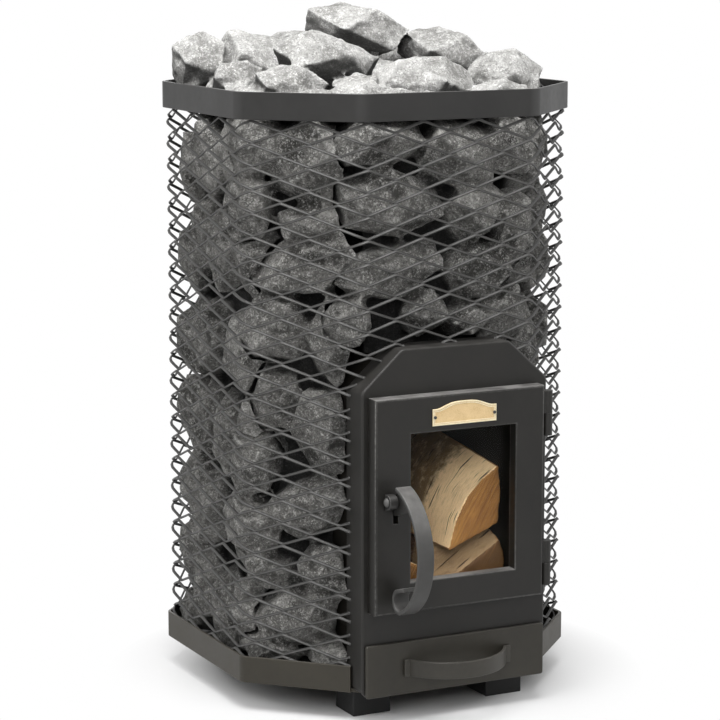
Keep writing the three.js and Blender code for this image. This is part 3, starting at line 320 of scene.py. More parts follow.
@dataclass(frozen=True)
class Paint:
    """Satin heat-proof paint, rubbed lighter along its edges and paler on upward faces: settled dust, and on the door
    and the handle a painted highlight from above.
    """

    name: str
    colour: Colour
    edge_colour: Colour
    roughness: float = 0.5
    edge: float = 0.0012
    peel: float = 0.00003
    dust_and_highlight: float = 0.1

    def material(self) -> bpy.types.Material:
        """Builds the paint's material."""
        material, graph = new_material(self.name)
        wear = graph.effect(edge_wear(), Width=self.edge)
        cloud = graph.effect(mottle(), Scale=14.0, Contrast=0.5).outputs["Value"]
        dust_and_highlight = graph.effect(dust_and_top_light(), Scale=28.0).outputs["Mask"]
        tone = graph.mix(1.0, self.colour, graph.add("CombineXYZ", {0: cloud, 1: cloud, 2: cloud}).outputs[0], "MULTIPLY")
        rubbed = graph.mix(wear.outputs["Mask"], tone, self.edge_colour)
        # Upward faces pale towards light grey: dust, and on the door and the handle a painted highlight of the lamps
        # above.
        dusted_and_highlit = graph.mix(graph.sum("MULTIPLY", dust_and_highlight, self.dust_and_highlight), rubbed, (0.3, 0.29, 0.28))
        skin = graph.effect(fine_grain(), Scale=1100.0).outputs["Height"]
        shader = graph.principled(
            Base_Color=dusted_and_highlit,
            Roughness=graph.ranged(cloud, 0.8, 1.2, self.roughness - 0.06, self.roughness + 0.08),
            Specular_IOR_Level=0.33,
            Normal=graph.bump(skin, self.peel, wear.outputs["Normal"]),
        )
        graph.surface(shader)
        return material


@dataclass(frozen=True)
class Steel:
    """Bare or thinly coated steel with rolling marks."""

    name: str
    colour: Colour
    edge_colour: Colour
    metallic: float
    roughness: float
    streak: tuple[float, float, float] = (30.0, 30.0, 600.0)
    cloudiness: float = 0.5

    def material(self) -> bpy.types.Material:
        """Builds the steel's material."""
        material, graph = new_material(self.name)
        wear = graph.effect(edge_wear(), Width=0.0009, Breakup=300.0)
        cloud = graph.effect(mottle(), Scale=22.0, Contrast=self.cloudiness).outputs["Value"]
        rolled = graph.noise(1.0, 3.0, 0.6, graph.stretched(self.streak))
        tone = graph.mix(1.0, self.colour, graph.add("CombineXYZ", {0: cloud, 1: cloud, 2: cloud}).outputs[0], "MULTIPLY")
        shader = graph.principled(
            Base_Color=graph.mix(wear.outputs["Mask"], tone, self.edge_colour),
            Metallic=self.metallic,
            Roughness=graph.ranged(rolled, 0.3, 0.7, self.roughness - 0.07, self.roughness + 0.09),
            Normal=graph.bump(rolled, 0.00004, wear.outputs["Normal"]),
        )
        graph.surface(shader)
        return material


@dataclass(frozen=True)
class Sooted:
    """Dark steel or iron that has been in the fire, with soot and ash."""

    name: str
    colour: Colour
    ash_colour: Colour
    roughness: float
    pits: float
    ash: float

    def material(self) -> bpy.types.Material:
        """Builds the sooted material."""
        material, graph = new_material(self.name)
        wear = graph.effect(edge_wear(), Width=0.0011, Breakup=150.0)
        cloud = graph.effect(mottle(), Scale=24.0, Contrast=1.1).outputs["Value"]
        dust_and_highlight = graph.effect(dust_and_top_light(), Scale=45.0).outputs["Mask"]
        tone = graph.mix(1.0, self.colour, graph.add("CombineXYZ", {0: cloud, 1: cloud, 2: cloud}).outputs[0], "MULTIPLY")
        ashed = graph.mix(graph.sum("MULTIPLY", dust_and_highlight, self.ash), tone, self.ash_colour)
        skin = graph.effect(fine_grain(), Scale=520.0).outputs["Height"]
        shader = graph.principled(
            Base_Color=ashed,
            Roughness=graph.ranged(cloud, 0.7, 1.3, self.roughness - 0.1, self.roughness + 0.1),
            Specular_IOR_Level=0.25,
            Normal=graph.bump(skin, self.pits, wear.outputs["Normal"]),
        )
        graph.surface(shader)
        return material


@dataclass(frozen=True)
class Rock:
    """Split grey rock with mineral specks, paler along its broken edges, painted in shade in the gaps, in its hollows
    and on faces that look down.
    """

    name: str
    dark: Colour
    light: Colour
    fleck: Colour
    shade: Colour
    underside_shade: float

    def material(self) -> bpy.types.Material:
        """Builds the rock's material."""
        material, graph = new_material(self.name)
        broad = graph.noise(13.0, 5.0, 0.6)
        medium = graph.noise(95.0, 6.0, 0.72)
        fine = graph.noise(520.0, 3.0, 0.7)
        facet = graph.add("Attribute", attribute_name=StoneMark.FACET.value).outputs["Fac"]
        cloud = graph.sum("ADD", graph.sum("MULTIPLY", broad, 0.35), graph.sum("MULTIPLY", medium, 0.45))
        tone = graph.sum("ADD", cloud, graph.sum("MULTIPLY", facet, 0.2))
        base = graph.mix(graph.ranged(tone, 0.4, 0.64), self.dark, self.light)
        cells = graph.add("TexVoronoi", {"Vector": graph.place(), "Scale": 560.0, "Randomness": 1.0})
        grain = graph.add("SeparateColor", {0: cells.outputs["Color"]}).outputs[0]
        pale = graph.sum("MULTIPLY", graph.ranged(grain, 0.6, 0.95), graph.ranged(medium, 0.38, 0.62))
        specked = graph.mix(graph.sum("MULTIPLY", pale, 0.75), base, self.fleck)
        black = graph.sum("MULTIPLY", graph.ranged(grain, 0.3, 0.05), 0.6)
        peppered = graph.mix(black, specked, self.dark)
        edges = graph.add("Attribute", attribute_name=StoneMark.RIDGE.value).outputs["Fac"]
        broken = graph.sum("MULTIPLY", graph.ranged(fine, 0.4, 0.62), edges)
        ridged = graph.mix(graph.sum("MULTIPLY", broken, 0.55), peppered, self.fleck)
        up = graph.add("SeparateXYZ", {0: graph.add("NewGeometry").outputs["Normal"]}).outputs["Z"]
        # Faces that look down are painted darker: shade from the lamps above.
        under = graph.sum("MULTIPLY", graph.ranged(up, 0.3, -0.35), self.underside_shade)
        height = graph.sum("ADD", graph.sum("MULTIPLY", medium, 0.62), graph.sum("MULTIPLY", fine, 0.38))
        shader = graph.principled(
            # Gaps, hollows and faces that look down are mixed to the shade colour: painted shade.
            Base_Color=graph.mix(graph.sum("MAXIMUM", self.painted_gap_shade(graph), under), ridged, self.shade),
            Roughness=graph.ranged(medium, 0.35, 0.65, 0.62, 0.9),
            Specular_IOR_Level=0.2,
            Normal=graph.bump(height, 0.006),
        )
        graph.surface(shader)
        return material

    def painted_gap_shade(self, graph: Graph) -> bpy.types.NodeSocket:
        """Gives how deep a point lies in a gap between stones, behind the cage and under the heap, or in a stone's
        hollow, as painted shade.

        Args:
            graph: the material's tree.

        Returns:
            0 on a stone's open faces, rising to 1 in the gaps, where the colour turns to the painted shade.
        """
        parts = graph.add("SeparateXYZ", {0: graph.place()}).outputs
        across = graph.sum("ABSOLUTE", parts["X"])
        behind = graph.sum("ABSOLUTE", graph.sum("SUBTRACT", parts["Y"], CAGE_MIDDLE_Y))
        diagonal = graph.sum("MULTIPLY", graph.sum("ADD", across, behind), 243.0 / 260.2 / math.sqrt(2))
        out = graph.sum("MAXIMUM", graph.sum("MAXIMUM", across, behind), diagonal)
        under = graph.ranged(parts["Z"], 0.8, 0.76)
        # Deep behind the cage's faces and below the heap, the stones and the packing behind them are painted in shade,
        # near black.
        deep = graph.sum("MULTIPLY", graph.ranged(out, 0.212, 0.184), under)
        # A stone's hollows are painted in shade as well.
        hollow = graph.add("Attribute", attribute_name=StoneMark.HOLLOW.value).outputs["Fac"]
        return graph.sum("MULTIPLY", graph.sum("MAXIMUM", deep, hollow), 0.94)


@dataclass(frozen=True)
class Bark:
    """Birch bark with dark pores that run round the log, pale at the front and darker towards the back."""

    name: str
    colour: Colour
    stain: Colour
    pore: Colour
    stain_share: tuple[float, float]
    darker_from: float = -152.0
    darker_to: float = -116.0

    def material(self) -> bpy.types.Material:
        """Builds the bark's material."""
        material, graph = new_material(self.name)
        cloud = graph.noise(62.0, 8.0, 0.76)
        way = graph.add("SeparateXYZ", {0: graph.place()}).outputs["Y"]
        # The bark turns darker towards the back of the log.
        back = graph.ranged(way, at(0, self.darker_from, 0).y, at(0, self.darker_to, 0).y, -0.15, 0.26)
        ground = graph.mix(graph.ranged(graph.sum("ADD", cloud, back), *self.stain_share), self.colour, self.stain)
        dashes = graph.noise(1.0, 1.0, 0.4, graph.stretched((21.0, 300.0, 21.0)))
        pores = graph.ranged(dashes, 0.66, 0.71)
        peel = graph.noise(1.0, 4.0, 0.6, graph.stretched((90.0, 420.0, 90.0)))
        tinted = graph.mix(graph.sum("MULTIPLY", graph.ranged(peel, 0.5, 0.75), 0.4), ground, self.stain)
        height = graph.sum("SUBTRACT", graph.sum("MULTIPLY", peel, 0.5), graph.sum("MULTIPLY", pores, 0.6))
        shader = graph.principled(
            Base_Color=graph.mix(pores, tinted, self.pore),
            Roughness=graph.ranged(peel, 0.3, 0.7, 0.55, 0.8),
            Specular_IOR_Level=0.3,
            Normal=graph.bump(height, 0.0015),
        )
        graph.surface(shader)
        return material


@dataclass(frozen=True)
class CutWood:
    """Split or sawn birch, with its fibres or its saw marks."""

    name: str
    pale: Colour
    deep: Colour
    sawn: bool

    def material(self) -> bpy.types.Material:
        """Builds the wood's material."""
        material, graph = new_material(self.name)
        if self.sawn:
            marks = graph.noise(1.0, 3.0, 0.6, graph.stretched((18.0, 18.0, 560.0), (0.0, math.radians(60), 0.0)))
        else:
            marks = graph.effect(fibres(), Across=330.0, Along=9.0).outputs["Value"]
        cloud = graph.effect(mottle(), Scale=26.0, Contrast=0.9).outputs["Value"]
        tone = graph.mix(graph.ranged(marks, 0.32, 0.68), self.deep, self.pale)
        warm = graph.mix(graph.ranged(cloud, 0.85, 1.25), graph.mix(0.45, tone, self.deep), tone)
        shader = graph.principled(
            Base_Color=warm,
            Roughness=graph.ranged(marks, 0.3, 0.7, 0.6, 0.8),
            Specular_IOR_Level=0.25,
            Normal=graph.bump(marks, 0.0007),
        )
        graph.surface(shader)
        return material


@dataclass(frozen=True)
class Brass:
    """Pale brass, stippled and browned where it lies low."""

    name: str
    colour: Colour
    stain: Colour
    stipple: float
    metallic: float
    roughness: float

    def material(self) -> bpy.types.Material:
        """Builds the brass's material."""
        material, graph = new_material(self.name)
        wear = graph.effect(edge_wear(), Width=0.0006, Breakup=500.0)
        cloud = graph.effect(mottle(), Scale=60.0, Contrast=0.9).outputs["Value"]
        dots = graph.noise(self.stipple, 2.0, 0.6)
        stained = graph.mix(graph.ranged(dots, 0.36, 0.58), self.stain, self.colour)
        patina = graph.mix(graph.ranged(cloud, 0.75, 1.3), stained, self.colour)
        shader = graph.principled(
            Base_Color=graph.mix(wear.outputs["Mask"], patina, self.colour),
            Metallic=self.metallic,
            Roughness=graph.ranged(dots, 0.3, 0.7, self.roughness - 0.08, self.roughness + 0.1),
            Normal=graph.bump(dots, 0.00018, wear.outputs["Normal"]),
        )
        graph.surface(shader)
        return material


@dataclass(frozen=True)
class Fibre:
    """Twisted or woven glass fibre, greyed by smoke."""

    name: str
    colour: Colour
    smoke: Colour
    weave: float

    def material(self) -> bpy.types.Material:
        """Builds the fibre's material."""
        material, graph = new_material(self.name)
        cloud = graph.effect(mottle(), Scale=50.0, Contrast=1.0).outputs["Value"]
        threads = graph.add("TexChecker", {"Vector": graph.place(), "Scale": self.weave}).outputs["Fac"]
        fuzz = graph.noise(1400.0, 3.0, 0.7)
        height = graph.sum("ADD", graph.sum("MULTIPLY", threads, 0.4), graph.sum("MULTIPLY", fuzz, 0.6))
        shader = graph.principled(
            Base_Color=graph.mix(graph.ranged(cloud, 0.7, 1.3), self.smoke, self.colour),
            Roughness=graph.ranged(fuzz, 0.3, 0.7, 0.8, 0.98),
            Specular_IOR_Level=0.2,
            Normal=graph.bump(height, 0.0004),
        )
        graph.surface(shader)
        return material


@dataclass(frozen=True)
class Pane:
    """Clear ceramic glass with a faint smoke haze, through which light passes on its way in."""

    name: str
    tint: Colour
    roughness: float

    def material(self) -> bpy.types.Material:
        """Builds the glass's material."""
        material, graph = new_material(self.name)
        haze = graph.noise(28.0, 4.0, 0.6)
        shader = graph.principled(
            Base_Color=opaque(self.tint),
            Metallic=0.0,
            Roughness=graph.ranged(haze, 0.35, 0.7, self.roughness, self.roughness + 0.05),
            IOR=1.12,
            Specular_IOR_Level=0.3,
            Transmission_Weight=1.0,
        )
        clear = graph.add("BsdfTransparent", {"Color": opaque(self.tint)})
        shadow = graph.add("LightPath").outputs["Is Shadow Ray"]
        both = graph.add("MixShader", {0: shadow, 1: shader.outputs[0], 2: clear.outputs[0]})
        graph.surface(both)
        return material


PLATE_PAINT = Paint("charcoal plate paint", (0.0125, 0.0116, 0.0101), (0.07, 0.068, 0.064), 0.44)
# The door's pale edge colour and strong upward paling paint the highlight of the lamps above along its top fold.
DOOR_PAINT = Paint("charcoal door paint", (0.0125, 0.0116, 0.0101), (0.11, 0.107, 0.101), 0.42, dust_and_highlight=0.8)
DRAWER_PAINT = Paint("browned drawer paint", (0.0285, 0.0258, 0.02), (0.085, 0.081, 0.072), 0.47)
RIM_PAINT = Paint("charcoal rim paint", (0.018, 0.0175, 0.0168), (0.08, 0.077, 0.072), 0.45)
BASE_RIM_PAINT = Paint("browned rim paint", (0.033, 0.029, 0.021), (0.09, 0.081, 0.064), 0.48)
FOOT_PAINT = Paint("black foot paint", (0.006, 0.006, 0.006), (0.03, 0.03, 0.03), 0.6, dust_and_highlight=0.25)
PULL_PAINT = Paint("drawer pull paint", (0.037, 0.034, 0.0278), (0.1, 0.095, 0.085), 0.42)
MESH_STEEL = Steel("expanded mesh steel", (0.036, 0.0352, 0.0338), (0.1, 0.098, 0.094), 0.22, 0.5)
# The handle's upward paling paints its top lighter, as lit from above.
HANDLE_PAINT = Paint("handle paint with painted lit top", (0.05, 0.049, 0.047), (0.16, 0.157, 0.15), 0.46, dust_and_highlight=0.55)
BOLT_STEEL = Steel("worn bolt steel", (0.085, 0.084, 0.081), (0.24, 0.235, 0.225), 0.35, 0.5)
DARK_STEEL = Steel("blackened bolt steel", (0.05, 0.049, 0.047), (0.2, 0.195, 0.19), 0.5, 0.45)
FIRE_STEEL = Sooted("sooted firebox steel", (0.011, 0.0092, 0.0068), (0.1, 0.09, 0.075), 0.75, 0.00025, 0.3)
CAST_IRON = Sooted("raw cast iron", (0.022, 0.019, 0.016), (0.18, 0.17, 0.15), 0.78, 0.0006, 0.4)
# The cage's stones and the heap's are one rock: painted darker in the cage as shade from the rims and the mesh, and
# paler on the heap as lit from above.
SHADED_CAGE_ROCK = Rock(
    "split grey rock in painted shade", (0.055, 0.0535, 0.049), (0.42, 0.412, 0.39), (0.84, 0.83, 0.8), (0.006, 0.006, 0.006), 0.38
)
LIT_HEAP_ROCK = Rock(
    "heap rock painted lit", (0.21, 0.207, 0.196), (0.56, 0.555, 0.54), (0.86, 0.855, 0.84), (0.02, 0.02, 0.019), 0.85
)
PALE_BARK = Bark("pale birch bark", (0.96, 0.7, 0.4), (0.22, 0.135, 0.06), (0.07, 0.042, 0.018), (0.5, 0.74))
# The lower log's bark is darker than the pale bark: partly its own brown, partly painted shade.
BROWN_AND_SHADED_BARK = Bark("brown birch bark in painted shade", (0.3, 0.2, 0.105), (0.08, 0.034, 0.014), (0.04, 0.022, 0.01), (0.42, 0.62))
DARK_BARK = Bark("dark birch bark", (0.13, 0.08, 0.036), (0.03, 0.018, 0.009), (0.012, 0.008, 0.004), (0.35, 0.6))
SPLIT_WOOD = CutWood("split birch", (0.4, 0.2, 0.065), (0.2, 0.078, 0.022), False)
SAWN_WOOD = CutWood("sawn birch end", (0.4, 0.198, 0.054), (0.165, 0.07, 0.019), True)
# The lower log's sawn end is darker than the other ends: partly brown mottling, partly painted shade.
MOTTLED_AND_SHADED_END = CutWood("mottled birch end in painted shade", (0.21, 0.11, 0.04), (0.075, 0.035, 0.013), True)
PALE_BRASS = Brass("pale brass edge", (0.9, 0.8, 0.57), (0.68, 0.52, 0.28), 900.0, 0.15, 0.36)
OCHRE_BRASS = Brass("ochre brass field", (0.78, 0.58, 0.31), (0.46, 0.28, 0.11), 1500.0, 0.15, 0.48)
ROPE = Fibre("smoked fibre rope", (0.2, 0.19, 0.18), (0.05, 0.047, 0.043), 600.0)
GLASS = Pane("clear ceramic glass", (0.95, 0.95, 0.94), 0.0)


@cache
def dress(finish: object) -> bpy.types.Material:
    """Gives a finish's material, built once."""
    return finish.material()


# Mesh making


def piece(
    name: str,
    mesh: bpy.types.Mesh,
    body: Body,
    finishes: Sequence[object],
    stands_for: Sequence[str] = (),
) -> bpy.types.Object:
    """Puts a finished mesh into the scene as a piece of the heater.

    Args:
        name: the piece's name.
        mesh: its mesh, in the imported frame.
        body: the body that it rides on.
        finishes: its finishes, in the order of the mesh's material numbers.
        stands_for: the CAD nodes that it replaces.

    Returns:
        The new object.
    """
    made = bpy.data.objects.new(name, mesh)
    bpy.context.scene.collection.objects.link(made)
    for finish in finishes:
        mesh.materials.append(dress(finish))
    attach(made, body.value)
    if stands_for:
        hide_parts(*stands_for)
    log.info("%s: %d faces", name, len(mesh.polygons))
    return made


def finish_nodes(finish: object, *names: str) -> None:
    """Gives CAD nodes that stay as they are a finish."""
    for name in names:
        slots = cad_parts[name].data.materials
        slots.clear()
        slots.append(dress(finish))
        log.info("%s: kept, dressed", name)


def to_mesh(name: str, shape: bmesh.types.BMesh, sharp: float = 35.0) -> bpy.types.Mesh:
    """Turns a shape into a mesh that is smooth except over sharp edges.

    Args:
        name: the mesh's name.
        shape: the shape, which is freed.
        sharp: edges over this many degrees stay sharp.

    Returns:
        The new mesh.
    """
    bmesh.ops.recalc_face_normals(shape, faces=shape.faces)
    mesh = bpy.data.meshes.new(name)
    shape.to_mesh(mesh)
    shape.free()
    mesh.shade_smooth()
    mesh.set_sharp_from_angle(angle=math.radians(sharp))
    return mesh


def node_shape(node: str) -> bmesh.types.BMesh:
    """Copies a CAD node's mesh, joined up and without seams across its flat faces."""
    shape = bmesh.new()
    shape.from_mesh(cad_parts[node].data)
    bmesh.ops.remove_doubles(shape, verts=shape.verts, dist=mm(0.002))
    bmesh.ops.dissolve_limit(shape, angle_limit=math.radians(0.5), verts=shape.verts, edges=shape.edges)
    return shape


EdgeTest = Callable[[Vector], bool]


def soften(shape: bmesh.types.BMesh, width: float, steps: int = 2, test: EdgeTest | None = None) -> None:
    """Rounds a shape's sharp edges.

    Args:
        shape: the shape to change.
        width: how wide the rounding is, in metres.
        steps: how many faces it has.
        test: says from an edge's middle whether it is rounded.
    """
    limit = math.radians(40)
    edges = [
        edge
        for edge in shape.edges
        if len(edge.link_faces) == 2
        and edge.calc_face_angle(0) > limit
        and (test is None or test((edge.verts[0].co + edge.verts[1].co) / 2))
    ]
    bmesh.ops.bevel(shape, geom=edges, offset=width, segments=steps, profile=0.5, affect="EDGES", clamp_overlap=True)


def relax(shape: bmesh.types.BMesh, rounds: int) -> None:
    """Smooths a shape all over, a number of times."""
    for _ in range(rounds):
        bmesh.ops.smooth_vert(
            shape, verts=shape.verts, factor=0.5, use_axis_x=True, use_axis_y=True, use_axis_z=True
        )


def weigh_normals(made: bpy.types.Object) -> bpy.types.Object:
    """Keeps large faces flat beside their rounded edges."""
    weights = made.modifiers.new("flat faces", "WEIGHTED_NORMAL")
    weights.keep_sharp = True
    weights.weight = 80
    return made


def softened_node(
    node: str, name: str, body: Body, finish: object, width: float, steps: int = 2
) -> bpy.types.Object:
    """Replaces a CAD node with itself, its edges rounded.

    Args:
        node: the CAD node.
        name: the new piece's name.
        body: the body that it rides on.
        finish: its finish.
        width: the rounding's width in metres.
        steps: how many faces the rounding has.

    Returns:
        The new object.
    """
    shape = node_shape(node)
    soften(shape, width, steps)
    return weigh_normals(piece(name, to_mesh(name, shape), body, [finish], [node]))


def rounded_bar(width: float, thickness: float, corner: float, steps: int = 3) -> list[tuple[float, float]]:
    """Gives the section of a flat bar with rounded corners, anticlockwise.

    Args:
        width: the size along the section's first axis.
        thickness: the size along its second axis.
        corner: the corners' radius.
        steps: how many faces each corner has.

    Returns:
        The section's points about its middle.
    """
    section = []
    for quarter, (side, end) in enumerate(((1, 1), (-1, 1), (-1, -1), (1, -1))):
        for step in range(steps + 1):
            turn = math.pi / 2 * (quarter + step / steps)
            across = side * (width / 2 - corner) + corner * math.cos(turn)
            through = end * (thickness / 2 - corner) + corner * math.sin(turn)
            section.append((across, through))
    return section


@dataclass
class Station:
    """A place along a sweep, with the directions of the section's two axes."""

    place: Vector
    first: Vector
    second: Vector


def sweep(
    shape: bmesh.types.BMesh, stations: Sequence[Station], section: Sequence[tuple[float, float]], closed: bool
) -> None:
    """Sweeps a section along stations into a shape.

    Args:
        shape: the shape to add to.
        stations: where the section goes.
        section: the section's points.
        closed: whether the last station joins the first; an open sweep gets end faces.
    """
    rings = [
        [shape.verts.new(spot.place + spot.first * a + spot.second * b) for a, b in section] for spot in stations
    ]
    count = len(section)
    pairs = list(zip(rings, rings[1:] + rings[:1] if closed else rings[1:]))
    for ring, after in pairs:
        for corner in range(count):
            following = (corner + 1) % count
            shape.faces.new((ring[corner], ring[following], after[following], after[corner]))
    if not closed:
        shape.faces.new(rings[0])
        shape.faces.new(rings[-1])


def path_stations(points: Sequence[Vector], side: Vector) -> list[Station]:
    """Gives stations for a bar bent in one plane.

    Args:
        points: the bar's middle line.
        side: the direction along the bend, in which the bar is wide.

    Returns:
        One station a point, its first axis along side.
    """
    spots = []
    for index, point in enumerate(points):
        before = points[max(index - 1, 0)]
        after = points[min(index + 1, len(points) - 1)]
        way = (after - before).normalized()
        spots.append(Station(point, side, way.cross(side).normalized()))
    return spots


def dense(node: str, voxel: float, lumps: Sequence[Matrix] = ()) -> bpy.types.Mesh:
    """Rebuilds a CAD node's skin from small even faces.

    Args:
        node: the CAD node.
        voxel: the faces' size in metres.
        lumps: angular lumps that grow out of the skin, each a unit lump's place, turn and size.

    Returns:
        The new mesh.
    """
    source = bpy.data.meshes.new(node + "_even")
    shape = node_shape(node)
    for lump in lumps:
        bmesh.ops.create_icosphere(shape, subdivisions=1, radius=1, matrix=lump)
    bmesh.ops.triangulate(shape, faces=shape.faces)
    shape.to_mesh(source)
    shape.free()
    holder = bpy.data.objects.new(node + "_even", source)
    bpy.context.scene.collection.objects.link(holder)
    remesh = holder.modifiers.new("even faces", "REMESH")
    remesh.mode = "VOXEL"
    remesh.voxel_size = voxel
    mesh = bpy.data.meshes.new_from_object(holder.evaluated_get(bpy.context.evaluated_depsgraph_get()))
    bpy.data.objects.remove(holder)
    bpy.data.meshes.remove(source)
    return mesh


# The cage


@dataclass(frozen=True)
class Ring:
    """An eight-sided plan with rounded bends, walked anticlockwise from the middle of the rear."""

    half_width: float
    half_side: float
    bend: float

    def runs(self) -> list[tuple[float, Vector, float, float]]:
        """Lists the ring's straight and curved runs.

        Returns:
            Each run's length, its start or its bend's centre, its direction and its turning radius, 0 if straight.
        """
        w, a = self.half_width, self.half_side
        corners = [(-a, w), (-w, a), (-w, -a), (-a, -w), (a, -w), (w, -a), (w, a), (a, w)]
        places = [Vector((0, w)), *(Vector(corner) for corner in corners), Vector((0, w))]
        setback = self.bend * math.tan(math.pi / 8)
        listed = []
        start = places[0]
        for here, after in zip(places[1:], places[2:] + [None]):
            way = (here - start).normalized()
            heading = math.atan2(way.y, way.x)
            if after is None:
                listed.append(((here - start).length, start.copy(), heading, 0.0))
                break
            tangent = here - way * setback
            listed.append(((tangent - start).length, start.copy(), heading, 0.0))
            inward = Vector((-way.y, way.x))
            listed.append((self.bend * math.pi / 4, tangent + inward * self.bend, heading, self.bend))
            start = here + (after - here).normalized() * setback
        return listed

    def length(self) -> float:
        """Gives the way round."""
        return sum(run[0] for run in self.runs())

    def walker(self) -> Callable[[float], tuple[Vector, Vector]]:
        """Makes a function that finds a place on the ring.

        Returns:
            A function from the way walked to the place and the outward direction, both level.
        """
        listed = self.runs()
        total = sum(run[0] for run in listed)

        def find(walked: float) -> tuple[Vector, Vector]:
            """Gives the place and the outward direction after a way walked."""
            left = walked % total
            for length, start, heading, radius in listed:
                if left <= length:
                    break
                left -= length
            turned = heading + (left / radius if radius else 0.0)
            out = Vector((math.sin(turned), -math.cos(turned), 0))
            if radius:
                flat = start + Vector((out.x, out.y)) * radius
            else:
                flat = start + Vector((math.cos(heading), math.sin(heading))) * left
            return Vector((flat.x, flat.y + CAGE_MIDDLE_Y, 0)), out

        return find

    def corners_walked(self, steps: int) -> list[float]:
        """Gives the ways walked at which a smooth ring needs a station.

        Args:
            steps: how many faces each bend has.

        Returns:
            The ways, in order, from 0 up to the full way round.
        """
        walked, ways = 0.0, [0.0]
        for length, _, _, radius in self.runs():
            parts = steps if radius else 1
            ways += [walked + length * (part + 1) / parts for part in range(parts)]
            walked += length
        return ways[:-1]


